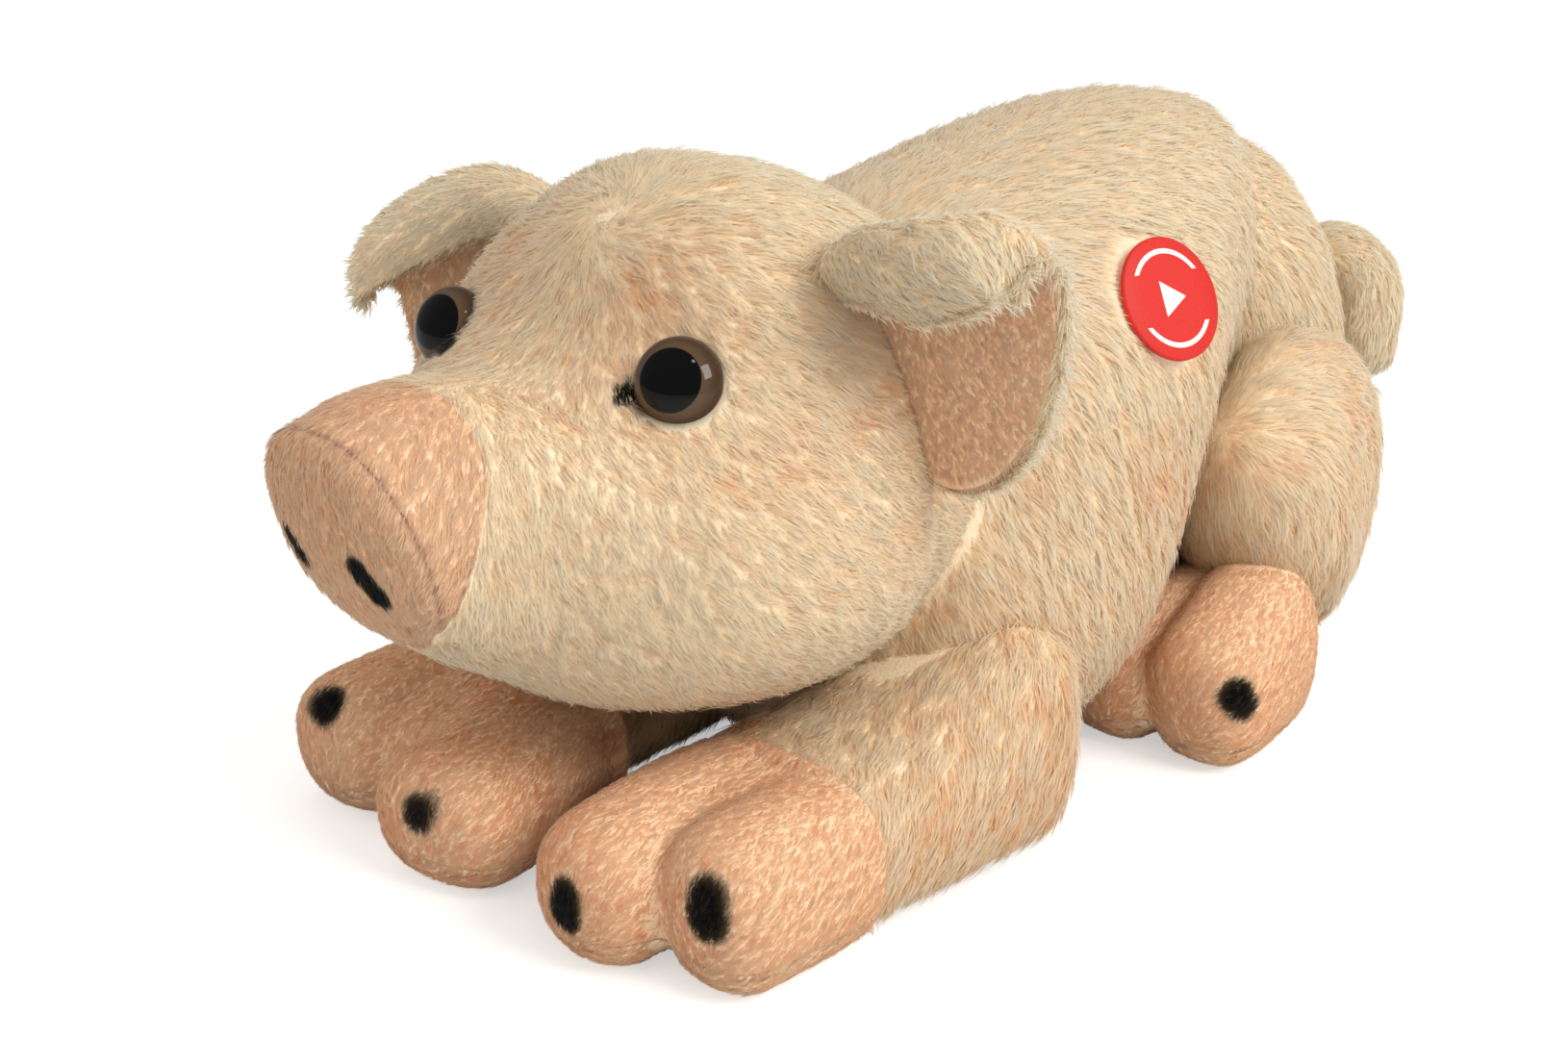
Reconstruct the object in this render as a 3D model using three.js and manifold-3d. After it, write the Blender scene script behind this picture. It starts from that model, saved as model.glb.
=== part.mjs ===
// A soft plush piglet that lies on its belly, with a push-to-play sound unit sewn in behind its left flank.
// Millimetres. +Z is up, the snout points to -Y, and +X is the piglet's own left. Z = 0 is the table.
import * as THREE from "three";
import { mergeVertices } from "three/addons/utils/BufferGeometryUtils.js";
import Module from "manifold-3d";

const wasm = await Module();
wasm.setup();

// Driving sizes: gaps and cloth

const seamGap = 0.3; // left between pieces that are sewn or glued face to face
const jointGap = 0.6; // left round a ball of stuffing that turns in its socket
const pileThickness = 3; // plush cloth with its pile pressed down by the stuffing
const sitDepth = 0.5; // how deep the belly and the soles are pressed flat

// Driving sizes: torso

// Slices across the body from chest to rump: y, half width, top of the back, height of the widest point,
// underside, and how far the slice leans back for each millimetre of height.
const torsoStations = [
  [-58, 37, 58, 34, 8, 0],
  [-44, 45, 88, 42, 3, 0],
  [-26, 51, 106.5, 46, 0, 0],
  [-6, 52, 115.5, 48, -sitDepth, 0.1],
  [12, 48.5, 123.5, 48, -sitDepth, 0.35],
  [28, 39.5, 123.5, 48, -sitDepth, 0.5],
  [46, 33, 118.5, 48, -sitDepth, 0.45],
  [66, 33, 115.5, 48, -sitDepth, 0.25],
  [88, 35, 112, 48, -sitDepth, 0.05],
  [106, 32.5, 100, 48, 2, 0],
  [122, 27, 85.5, 48, 10, 0],
];
const torsoFullness = 2.4; // 2 is an ellipse, and more is boxier
const chestCap = 16; // length over which the chest rounds off
const rumpCap = 26;

// Driving sizes: head and snout

// Slices from the snout disc to the nape, with the same columns. The front ones lean forward.
const headStations = [
  [-141.5, 20, 84, 67.5, 53.5, -0.28],
  [-134, 21, 86.5, 66.5, 48.5, -0.28],
  [-127, 22.5, 89, 66, 44, -0.22],
  [-118, 26.5, 89.5, 66, 39.5, -0.15],
  [-108, 36, 88.5, 64, 35, -0.05],
  [-98, 45.5, 95, 62, 32.5, 0],
  [-86, 50, 110.5, 62, 30.5, 0],
  [-74, 50, 118.5, 62, 29, 0],
  [-62, 49, 118.5, 64, 29, 0],
  [-50, 46.5, 115, 66, 31, 0],
  [-36, 44, 106, 68, 38, 0],
  [-22, 32, 95, 70, 50, 0],
  [-12, 20, 86, 72, 60, 0],
];
const headFullness = 2.3;
const snoutCap = 7; // the snout disc swells this far past its seam
const napeCap = 8;
const discSeam = { y: -134.5, lean: -0.3 }; // where the snout disc is sewn on
const faceSeam = { y: -128.5, lean: 0.3 }; // where the snout band meets the face
const seamHeight = 66; // the height at which those seams are measured

// The head nods about this point, and its nape is the ball that turns in the torso.
const neckPivot = [0, -60, 72];
const neckBall = { halfWidth: 47, radius: 48 };

// Driving sizes: eyes

const eyePlace = { x: 29, y: -96.7, z: 89.6 };
const eyeDiameter = 14;
const eyeHeight = 4.6;
const eyeSeatDepth = 1.2; // how far the eye is drawn into the pile
const eyePost = { radius: 1.7, length: 10 };
const eyeWasher = { radius: 6.5, thickness: 1.4 };
const washerClearance = 2.2; // keeps the flat washer off the curved cloth

// Driving sizes: ears

// Where each ear starts, how far its outer end is swept from a flat leaf (x outwards, y back, z up), and how
// much lower than the stations say its lower edge hangs.
const earPlaces = {
  left: { root: [47, -61, 75], sweep: [0, 4, 2], hang: 0 },
  right: { root: [45, -59, 75], sweep: [0, -14, -16], hang: 9 },
};
const earLean = -0.2; // how far the ear leans forwards for each millimetre of height
// Each ear flops about the line along which it is sewn to the head.
const earHinge = { bottom: [49, -61, 74], top: [33, -66, 106] };
// Across the ear from root to edge: distance out, height of the lower edge, height at which the top starts
// to fold forwards, and radius and turn of that fold.
const earStations = [
  [-11, 6, 28.5, 3, 230],
  [-4, 0, 30.5, 4.2, 230],
  [4, -4, 31, 5.6, 230],
  [12, -2, 31, 6.8, 225],
  [18.5, 5, 31, 7, 215],
  [22, 14, 30, 6.3, 200],
  [24, 21, 28, 4, 180],
];
const earBackThickness = 2.8;
const earLiningThickness = 1.5;
const earFlop = [-15, 0, 15]; // degrees at which the root of the ear is trimmed clear of the head

// Driving sizes: legs and feet

// Paths of the left limbs, from the body outwards: x, y, z, half width, half height.
const frontLegStations = [
  [39, -19, 22, 18, 22],
  [38.5, -34, 21, 21, 21.5],
  [37, -52, 17, 22.5, 17.5],
  [35.5, -70, 14.5, 22.5, 15],
  [35, -88, 13.5, 22.5, 14],
];
const frontLegCaps = [20, 10]; // lengths over which its two ends round off
const frontToes = {
  left: [
    [
      [42, -72, 13.5, 15, 14],
      [45.5, -86, 13.5, 13.5, 14],
      [46.5, -98, 13.5, 12.5, 14],
      [46.5, -112.5, 12.5, 12, 13],
    ],
    [
      [29, -74, 13.5, 15, 14],
      [27, -88, 13.5, 13.5, 14],
      [27, -102, 13, 12.5, 13.5],
      [28, -121, 11.5, 12, 12],
    ],
  ],
  right: [
    [
      [43, -72, 13.5, 15, 14],
      [46, -88, 13.5, 14, 14],
      [45.5, -101, 13, 14, 14],
      [45, -119, 12, 14.5, 12.5],
    ],
    [
      [23, -71, 13.5, 20, 14],
      [20, -87, 13.5, 17, 14],
      [12.5, -102, 12.5, 16, 13],
      [7.5, -123, 11, 15.5, 11.5],
    ],
  ],
};
// The cloth between a foot's two toes, which fills the cleft except at its front.
const frontWebs = {
  left: [
    [36, -72, 13.5, 16, 14],
    [36, -88, 13.5, 13, 13],
    [36, -101, 12.5, 11, 11.5],
    [36, -110, 11.5, 8, 9.5],
  ],
  right: [
    [36, -72, 13.5, 16, 14],
    [33, -88, 13.5, 14, 13],
    [29, -101, 12.5, 13, 11.5],
    [26.5, -112, 11.5, 10, 9.5],
  ],
};
const sleeveFullness = 2.8; // of the front legs, which lie flat on the table
const toeFullness = 2.4;
const wristSeam = -80; // y of the seam between a front leg and its foot
const shoulderPivot = [38, -30, 23];
const shoulderRadius = 20;
const frontSplay = [-1, 12, 25]; // degrees outwards at which the leg is trimmed clear of the torso

const hindLegStations = [
  [39, 90, 53, 15, 26],
  [41, 74, 50, 16, 30],
  [42.5, 59, 45.5, 18, 34],
  [45.5, 45, 39, 19, 31],
  [48, 34, 31, 17, 24],
];
const hindLegCaps = [24, 18];
const hindToes = [
  [
    [49.5, 46, 19, 12, 19],
    [52, 34, 18.5, 13.5, 18.5],
    [54, 20, 15.5, 13, 16],
    [54, 6, 12.5, 12, 13],
  ],
  [
    [40, 46, 16, 12.5, 16.5],
    [37.5, 34, 15.5, 12.5, 16],
    [35, 20, 13, 11.5, 13.5],
    [33.5, 6, 11.5, 11, 12],
  ],
];
const hipPivot = [38, 62, 42];
const hipRadius = 20;
const hindSplay = [-1, 9, 18];
const toeCaps = [12, 9];
const soleHeight = 7; // where the sole is sewn to the upper

// Driving sizes: tail

const tailStations = [
  [10, 107, 79, 8, 8],
  [12, 116.5, 81.5, 8.5, 8.5],
  [17.5, 120.5, 82.5, 9.5, 9],
  [24, 120.5, 77, 9.5, 9.5],
  [26.5, 118.5, 67, 9, 9],
  [26.5, 117.5, 56.5, 8, 8],
];
const tailCaps = [7, 8];
const tailPivot = [10, 106, 80];
const tailBallRadius = 8;
const tailWag = [-15, 0, 15];

// Driving sizes: sound unit. Depths count inwards from the outside of the press patch.

const patchPlace = [45, 7.5, 91];
const patchTurn = -10; // degrees from facing straight out to the left, towards the head
const patchTilt = 25; // degrees upwards
const patchRadius = 11.5;
const patchThickness = 0.8;
const buttonTravel = 2;
const button = { radius: 10.5, thickness: 2, stemRadius: 3.2 };
const runningGap = 0.35; // round the button's stem, and round parts that drop into the case
const caseRadius = 22;
const caseWall = 1.5;
const caseFront = 16; // depth of the case's front face
const switchDome = { radius: 4, thickness: 1.6 };
const boardThickness = 1.2;
const boardDepth = 21.4;
const cell = { radius: 5.8, thickness: 5.4, pitchRadius: 7.1, count: 3 };
const speaker = { radius: 14, rimThickness: 2.6, magnetRadius: 7, magnetThickness: 2 };
const grille = { holeRadius: 1.5, ringRadius: 7, count: 5 };
const caseScrew = { radius: 1, headRadius: 2, headThickness: 1.2, bite: 5, count: 3 };
const screwPost = { radius: 2.7, pitchRadius: 17.8 };

// How finely the forms are faceted.
const outside = { sides: 20, torsoSlices: 11, headSlices: 13 };
const inside = { sides: 14, torsoSlices: 8, headSlices: 9 };
const limbSides = 12;
const limbSlices = { toe: 5, frontLeg: 6, hindLeg: 7, tail: 9 };
const ballSides = 14;
const roundSides = 18; // for the turned parts
const smallSides = 8;
const far = 400; // longer than the whole toy, for cutting blocks

// Materials

const finish = (color, roughness, metalness = 0) =>
  new THREE.MeshStandardMaterial({ color, roughness, metalness });
const creamPlush = finish(0xeed8bd, 0.95);
const pinkVelour = finish(0xe9c0a5, 0.95);
const fibre = finish(0xf4f2ee, 1);
const patchRed = finish(0xd8261c, 0.6);
const eyePlastic = finish(0x2a1a10, 0.08);
const whitePlastic = finish(0xe8e8e4, 0.45);
const blackPlastic = finish(0x1b1b1c, 0.4);
const greyRubber = finish(0x6a6a6c, 0.8);
const boardGreen = finish(0x1f6b3a, 0.6);
const steel = finish(0xb9bcc0, 0.35, 0.9);

// Solids: a closed geometry as a solid that can be cut and joined, and back again

function solidOf(geometry) {
  const bare = geometry.clone();
  bare.deleteAttribute("normal");
  bare.deleteAttribute("uv");
  const merged = mergeVertices(bare, 1e-4);
  return new wasm.Manifold(
    new wasm.Mesh({
      numProp: 3,
      vertProperties: merged.attributes.position.array,
      triVerts: new Uint32Array(merged.index.array),
    }),
  );
}

function geometryOf(solid) {
  const { vertProperties, triVerts } = solid.getMesh();
  const geometry = new THREE.BufferGeometry();
  geometry.setAttribute("position", new THREE.Float32BufferAttribute(vertProperties, 3));
  geometry.setIndex([...triVerts]);
  geometry.computeVertexNormals();
  return geometry;
}

// A solid from points and faces that are all wound alike, turned the right way out.
function solidOfFaces(points, faces) {
  const geometry = new THREE.BufferGeometry().setFromPoints(points);
  geometry.setIndex(faces);
  const solid = solidOf(geometry);
  if (solid.volume() > 0) return solid;
  geometry.setIndex(faces.toReversed());
  return solidOf(geometry);
}

// Rings of points, one after another along a form, closed with a fan at both ends.
function loftSolid(rings) {
  const sides = rings[0].length;
  const points = rings.flat();
  const faces = [];
  for (let r = 0; r + 1 < rings.length; r++) {
    for (let s = 0; s < sides; s++) {
      const a = r * sides + s;
      const b = r * sides + ((s + 1) % sides);
      faces.push(a, b, b + sides, a, b + sides, a + sides);
    }
  }
  for (const [ring, turnedRound] of [[0, true], [rings.length - 1, false]]) {
    const middle = new THREE.Vector3();
    for (const point of rings[ring]) middle.addScaledVector(point, 1 / sides);
    const hub = points.push(middle) - 1;
    for (let s = 0; s < sides; s++) {
      const a = ring * sides + s;
      const b = ring * sides + ((s + 1) % sides);
      faces.push(hub, ...(turnedRound ? [b, a] : [a, b]));
    }
  }
  return solidOfFaces(points, faces);
}

// A sheet with thickness: two grids of points with the same rows and columns, joined round their edges.
function sheetSolid(front, back) {
  const rows = front.length;
  const columns = front[0].length;
  const points = [...front.flat(), ...back.flat()];
  const at = (side, row, column) => side * rows * columns + row * columns + column;
  const faces = [];
  const quad = (a, b, c, d) => faces.push(a, b, c, a, c, d);
  for (let r = 0; r + 1 < rows; r++) {
    for (let c = 0; c + 1 < columns; c++) {
      quad(at(0, r, c), at(0, r, c + 1), at(0, r + 1, c + 1), at(0, r + 1, c));
      quad(at(1, r, c), at(1, r + 1, c), at(1, r + 1, c + 1), at(1, r, c + 1));
    }
    quad(at(0, r, 0), at(0, r + 1, 0), at(1, r + 1, 0), at(1, r, 0));
    const end = columns - 1;
    quad(at(0, r, end), at(1, r, end), at(1, r + 1, end), at(0, r + 1, end));
  }
  for (let c = 0; c + 1 < columns; c++) {
    const end = rows - 1;
    quad(at(0, 0, c), at(1, 0, c), at(1, 0, c + 1), at(0, 0, c + 1));
    quad(at(0, end, c), at(0, end, c + 1), at(1, end, c + 1), at(1, end, c));
  }
  return solidOfFaces(points, faces);
}

// Every column of a list of stations at a share of the way along it, on a smooth curve through the stations.
function stationAt(stations, share) {
  const last = stations.length - 1;
  const i = Math.min(Math.floor(share * last), last - 1);
  const t = share * last - i;
  return stations[i].map((value, column) => {
    const before = stations[Math.max(i - 1, 0)][column];
    const after = stations[i + 1][column];
    const beyond = stations[Math.min(i + 2, last)][column];
    const leaving = ((after - before) / 2) * (t ** 3 - 2 * t ** 2 + t);
    const arriving = ((beyond - value) / 2) * (t ** 3 - t ** 2);
    return value + (after - value) * (3 * t ** 2 - 2 * t ** 3) + leaving + arriving;
  });
}

// The share of its full size that a form has at a distance from an end that rounds off over a cap's length.
function roundedEnd(distance, cap) {
  const inside = Math.min(Math.max(distance / cap, 0.02), 1);
  return Math.sqrt(1 - (1 - inside) ** 2);
}

// Shares of the way along a form, closer together towards its two ends.
function easedShares(count) {
  return Array.from({ length: count + 1 }, (_, i) => {
    const even = i / count;
    return (even + 0.5 - 0.5 * Math.cos(Math.PI * even)) / 2;
  });
}

// A point of an outline of half size 1: a circle at a fullness of 2, and a rounded box above it.
function roundedBox(angle, fullness) {
  const stretched = (value) => Math.sign(value) * Math.abs(value) ** (2 / fullness);
  return [stretched(Math.cos(angle)), stretched(Math.sin(angle))];
}

// A form sliced across the body, such as the torso. Grown by a thickness, or shrunk by a negative one.
function slicedForm(stations, fullness, caps, slices, sides, grow) {
  const first = stations[0][0];
  const last = stations.at(-1)[0];
  const rings = easedShares(slices).map((share) => {
    const [plain, halfWidth, top, widest, bottom, lean] = stationAt(stations, share);
    const y = THREE.MathUtils.mapLinear(plain, first, last, first - grow, last + grow);
    const size = roundedEnd(y - first + grow, caps[0] + grow) * roundedEnd(last + grow - y, caps[1] + grow);
    return Array.from({ length: sides }, (_, s) => {
      const [across, upward] = roundedBox((2 * Math.PI * s) / sides, fullness);
      const tall = upward > 0 ? top - widest : widest - bottom;
      const rise = (tall + grow) * size * upward;
      return new THREE.Vector3((halfWidth + grow) * size * across, y + lean * rise, widest + rise);
    });
  });
  return loftSolid(rings);
}

// A form swept along a path of stations, such as a leg, a toe or the tail, with both ends rounded.
function limbForm(stations, caps, slices, { fullness = 2, grow = 0 } = {}) {
  const path = new THREE.CatmullRomCurve3(stations.map(([x, y, z]) => new THREE.Vector3(x, y, z)));
  const length = path.getLength();
  const rings = easedShares(slices).map((share) => {
    const along = path.getTangent(share);
    const middle = path.getPoint(share).addScaledVector(along, grow * (2 * share - 1));
    const aside = new THREE.Vector3().crossVectors(along, upright).normalize();
    const up = new THREE.Vector3().crossVectors(aside, along);
    const [, , , halfWidth, halfHeight] = stationAt(stations, share);
    const size = roundedEnd(share * length, caps[0]) * roundedEnd((1 - share) * length, caps[1]);
    return Array.from({ length: limbSides }, (_, s) => {
      const [across, upward] = roundedBox((2 * Math.PI * s) / limbSides, fullness);
      return middle
        .clone()
        .addScaledVector(aside, (halfWidth + grow) * size * across)
        .addScaledVector(up, (halfHeight + grow) * size * upward);
    });
  });
  return loftSolid(rings);
}

const upright = new THREE.Vector3(0, 0, 1);
const mirrorPoint = ([x, y, z]) => [-x, y, z];

function ball(centre, radius) {
  const geometry = new THREE.SphereGeometry(radius, ballSides, ballSides / 2);
  return solidOf(geometry.rotateX(Math.PI / 2).translate(...centre));
}

function block(low, high) {
  const size = high.map((value, axis) => value - low[axis]);
  const middle = high.map((value, axis) => (value + low[axis]) / 2);
  return solidOf(new THREE.BoxGeometry(...size).translate(...middle));
}

// What of a solid lies above a level, and what lies below it.
const above = (solid, level) => solid.subtract(block([-far, -far, -far], [far, far, level]));
const below = (solid, level) => solid.subtract(block([-far, -far, level], [far, far, far]));

// Everything behind a seam that runs across the head and leans as the slices there do.
function behindSeam({ y, lean }, offset) {
  const slab = new THREE.BoxGeometry(far, far, far);
  slab.translate(0, far / 2 + y + offset, 0);
  const shear = new THREE.Matrix4();
  shear.elements[9] = lean;
  slab.applyMatrix4(shear);
  return solidOf(slab.translate(0, -lean * seamHeight, 0));
}

// A solid moved by a matrix. One that mirrors it keeps its faces pointing out.
function moved(solid, matrix) {
  const geometry = geometryOf(solid).applyMatrix4(matrix);
  if (matrix.determinant() < 0) geometry.setIndex([...geometry.index.array].reverse());
  return solidOf(geometry);
}

const mirrored = (solid) => moved(solid, new THREE.Matrix4().makeScale(-1, 1, 1));

function turned(solid, pivot, axis, degrees) {
  const turn = new THREE.Matrix4().makeRotationAxis(axis, THREE.MathUtils.degToRad(degrees));
  const there = new THREE.Matrix4().makeTranslation(...pivot);
  const back = there.clone().invert();
  return moved(solid, there.multiply(turn).multiply(back));
}

// A limb trimmed so that it clears a larger neighbour at each of these turns.
function trimmedClear(limb, neighbour, pivot, axis, turns) {
  return turns.reduce((rest, degrees) => rest.subtract(turned(neighbour, pivot, axis, -degrees)), limb);
}

const toy = new THREE.Group();

function add(name, solid, material) {
  const mesh = new THREE.Mesh(geometryOf(solid), material);
  mesh.name = name;
  toy.add(mesh);
}

// Forms that several pieces share

function neckForm(grow, sides) {
  const geometry = new THREE.SphereGeometry(1, sides, sides / 2);
  geometry.rotateZ(Math.PI / 2);
  geometry.scale(neckBall.halfWidth + grow, neckBall.radius + grow, neckBall.radius + grow);
  return solidOf(geometry.translate(...neckPivot));
}

function headForm({ sides, headSlices }, grow) {
  const whole = slicedForm(headStations, headFullness, [snoutCap, napeCap], headSlices, sides, grow);
  const rear = block([-far, neckPivot[1], -far], [far, far, far]);
  return whole.subtract(rear.subtract(neckForm(grow, sides)));
}

function torsoForm({ sides, torsoSlices }, grow) {
  return slicedForm(torsoStations, torsoFullness, [chestCap, rumpCap], torsoSlices, sides, grow);
}

const torsoClearance = torsoForm(outside, jointGap);

// The direction that a point on the head faces, from the slices on either side of it.
function headNormalAt({ x, y, z }) {
  const sliceAt = (py) => {
    const [, halfWidth, top, widest] = stationAt(headStations, shareAt(headStations, py));
    return { halfWidth, height: top - widest, rise: z - widest };
  };
  const filled = (py) => {
    const { halfWidth, height, rise } = sliceAt(py);
    return (x / halfWidth) ** headFullness + (rise / height) ** headFullness;
  };
  const { halfWidth, height, rise } = sliceAt(y);
  return new THREE.Vector3(
    (headFullness / halfWidth) * (x / halfWidth) ** (headFullness - 1),
    (filled(y + 1) - filled(y - 1)) / 2,
    (headFullness / height) * (rise / height) ** (headFullness - 1),
  ).normalize();
}

// The share of the way along a list of stations at which it reaches a given y.
function shareAt(stations, y) {
  let low = 0;
  let high = 1;
  for (let i = 0; i < 30; i++) {
    const middle = (low + high) / 2;
    if (stationAt(stations, middle)[0] < y) low = middle;
    else high = middle;
  }
  return low;
}

// A round piece turned about an axis, from a profile of radius and depth. Depth counts against the axis.
function turnedPiece(profile, place, facing, sides = roundSides) {
  const outline = profile.map(([radius, depth]) => new THREE.Vector2(radius, -depth));
  outline.push(outline[0]);
  const geometry = new THREE.LatheGeometry(outline, sides);
  geometry.applyQuaternion(new THREE.Quaternion().setFromUnitVectors(new THREE.Vector3(0, 1, 0), facing));
  const solid = solidOf(geometry.translate(...place));
  if (solid.volume() > 0) return solid;
  geometry.setIndex([...geometry.index.array].reverse());
  return solidOf(geometry);
}

const disc = (radius, from, to) => [[0, from], [radius, from], [radius, to], [0, to]];

// Eyes: a domed front on a post that goes through the cloth, locked by a washer behind it

const eyeFacing = headNormalAt(eyePlace);
const eyeSpot = new THREE.Vector3(eyePlace.x, eyePlace.y, eyePlace.z);
const eyeRadius = eyeDiameter / 2;
const washerDepth = pileThickness + washerClearance;

function eyeDome() {
  const steps = 6;
  const profile = [];
  for (let i = 0; i <= steps; i++) {
    const angle = (Math.PI / 2) * (i / steps);
    profile.push([eyeRadius * Math.sin(angle), eyeSeatDepth - eyeHeight * Math.cos(angle)]);
  }
  profile.push([eyePost.radius, eyeSeatDepth], [eyePost.radius, eyePost.length], [0, eyePost.length]);
  return turnedPiece(profile, eyeSpot, eyeFacing);
}

const eye = eyeDome();
const washer = turnedPiece(
  [
    [eyePost.radius + seamGap, washerDepth],
    [eyeWasher.radius, washerDepth],
    [eyeWasher.radius, washerDepth + eyeWasher.thickness],
    [eyePost.radius + seamGap, washerDepth + eyeWasher.thickness],
  ],
  eyeSpot,
  eyeFacing,
);
const eyeSeat = turnedPiece(
  [
    [0, -eyeRadius],
    [eyeRadius + seamGap, -eyeRadius],
    [eyeRadius + seamGap, eyeSeatDepth + seamGap],
    [eyePost.radius + seamGap, eyeSeatDepth + seamGap],
    [eyePost.radius + seamGap, eyePost.length + seamGap],
    [0, eyePost.length + seamGap],
  ],
  eyeSpot,
  eyeFacing,
);
const washerRoomFrom = (depth) =>
  turnedPiece(
    disc(eyeWasher.radius + seamGap, depth, washerDepth + eyeWasher.thickness + seamGap),
    eyeSpot,
    eyeFacing,
  );
add("left_eye", eye, eyePlastic);
add("right_eye", mirrored(eye), eyePlastic);
add("left_eye_washer", washer, whitePlastic);
add("right_eye_washer", mirrored(washer), whitePlastic);

// Head: a skin open at the face seam, a band and a disc for the snout, and the stuffing that fills all three

const headInside = headForm(inside, -pileThickness);
const inBothSides = (solid) => solid.add(mirrored(solid));
const eyeSeats = inBothSides(eyeSeat);
const washerPockets = inBothSides(washerRoomFrom(0));
const washerSeats = inBothSides(washerRoomFrom(washerDepth - seamGap));
const behindFace = behindSeam(faceSeam, seamGap / 2);
const behindDisc = behindSeam(discSeam, seamGap / 2);
const headCloth = headForm(outside, 0).subtract(headInside);
const faceCloth = headCloth.intersect(behindFace).intersect(behindDisc);
add("head_skin", faceCloth.subtract(eyeSeats).subtract(washerSeats), creamPlush);
add("snout_band", headCloth.intersect(behindDisc).subtract(behindSeam(faceSeam, -seamGap / 2)), pinkVelour);
add("snout_disc", headCloth.subtract(behindSeam(discSeam, -seamGap / 2)), pinkVelour);
const headFilling = headForm(inside, -pileThickness - seamGap);
add("head_stuffing", headFilling.subtract(eyeSeats).subtract(washerPockets), fibre);

// Ears: a leaf of long-pile cloth with a short-pile lining, its top folded forward over the lining

// One face of an ear, a constant distance behind the fold's own surface.
function earFace({ root, sweep, hang }, offset) {
  const rows = 7;
  const flatSteps = 2;
  const foldSteps = 7;
  const tip = earStations.at(-1)[0];
  return easedShares(rows).map((share) => {
    const [out, lower, foldLine, radius, turn] = stationAt(earStations, share);
    const swept = Math.max(out / tip, 0) ** 2;
    const row = [];
    const place = (up, rearward) => {
      const point = new THREE.Vector3(out, rearward + earLean * up, up);
      row.push(point.add(new THREE.Vector3(...root)).addScaledVector(new THREE.Vector3(...sweep), swept));
    };
    for (let i = 0; i < flatSteps; i++) {
      place(THREE.MathUtils.lerp(lower - hang, foldLine, i / flatSteps), offset);
    }
    for (let i = 0; i <= foldSteps; i++) {
      const angle = THREE.MathUtils.degToRad((turn * i) / foldSteps);
      place(foldLine + (radius + offset) * Math.sin(angle), (radius + offset) * Math.cos(angle) - radius);
    }
    return row;
  });
}

const headClearance = headForm(outside, jointGap);
const hingeLine = new THREE.Vector3(...earHinge.top).sub(new THREE.Vector3(...earHinge.bottom)).normalize();

for (const [side, place] of Object.entries(earPlaces)) {
  const leaf = (front, back) => {
    const sheet = sheetSolid(earFace(place, front), earFace(place, back));
    const trimmed = trimmedClear(sheet, headClearance, earHinge.bottom, hingeLine, earFlop);
    return side === "left" ? trimmed : mirrored(trimmed);
  };
  add(`${side}_ear`, leaf(earBackThickness, 0), creamPlush);
  add(`${side}_ear_lining`, leaf(-seamGap, -seamGap - earLiningThickness), pinkVelour);
}

// Sound unit, along the axis of its button

const turnOut = THREE.MathUtils.degToRad(patchTurn);
const tiltUp = THREE.MathUtils.degToRad(patchTilt);
const patchFacing = new THREE.Vector3(
  Math.cos(tiltUp) * Math.cos(turnOut),
  Math.cos(tiltUp) * Math.sin(turnOut),
  Math.sin(tiltUp),
);
const inUnit = (profile, sides) => turnedPiece(profile, patchPlace, patchFacing, sides);

// The same piece moved off the unit's axis, to one of several places round it.
function offAxis(profile, pitchRadius, index, count, sides = smallSides) {
  const angle = (2 * Math.PI * index) / count;
  const sideways = new THREE.Vector3(-patchFacing.y, patchFacing.x, 0).normalize();
  const along = new THREE.Vector3().crossVectors(patchFacing, sideways);
  const place = new THREE.Vector3(...patchPlace)
    .addScaledVector(sideways, pitchRadius * Math.cos(angle))
    .addScaledVector(along, pitchRadius * Math.sin(angle));
  return turnedPiece(profile, place, patchFacing, sides);
}

const joined = (solids) => solids.reduce((whole, solid) => whole.add(solid));
const around = (count, make) => Array.from({ length: count }, (_, index) => make(index));

const buttonFront = patchThickness + seamGap;
const buttonBack = buttonFront + button.thickness;
const domeFront = boardDepth - seamGap - switchDome.thickness;
const stemEnd = domeFront - seamGap - buttonTravel;
const boardBack = boardDepth + boardThickness;
const cellFront = boardBack + seamGap;
const cellBack = cellFront + cell.thickness;
const magnetFront = cellBack + seamGap;
const rimFront = magnetFront + speaker.magnetThickness;
const rimBack = rimFront + speaker.rimThickness;
const caseInnerBack = rimBack + seamGap;
const caseBack = caseInnerBack + caseWall;
const caseSplit = boardBack + 2;
const bore = caseRadius - caseWall;
const screwHeadFront = caseBack + seamGap;
const screwTip = caseSplit - caseScrew.bite;

add("press_patch", inUnit(disc(patchRadius, 0, patchThickness)), patchRed);
add(
  "push_button",
  inUnit([
    [0, buttonFront],
    [button.radius, buttonFront],
    [button.radius, buttonBack],
    [button.stemRadius, buttonBack],
    [button.stemRadius, stemEnd],
    [0, stemEnd],
  ]),
  whitePlastic,
);

const postAt = (radius, from, to) => (index) =>
  offAxis(disc(radius, from, to), screwPost.pitchRadius, index, caseScrew.count);
const stemHole = button.stemRadius + runningGap;
const frontShell = inUnit([
  [stemHole, caseFront],
  [caseRadius, caseFront],
  [caseRadius, caseSplit],
  [bore, caseSplit],
  [bore, caseFront + caseWall],
  [stemHole, caseFront + caseWall],
]);
const frontPosts = around(caseScrew.count, postAt(screwPost.radius, caseFront + caseWall / 2, caseSplit));
const threadHoles = around(
  caseScrew.count,
  postAt(caseScrew.radius + seamGap, screwTip - seamGap, caseBack + 1),
);
add("case_front", joined([frontShell, ...frontPosts]).subtract(joined(threadHoles)), blackPlastic);

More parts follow.
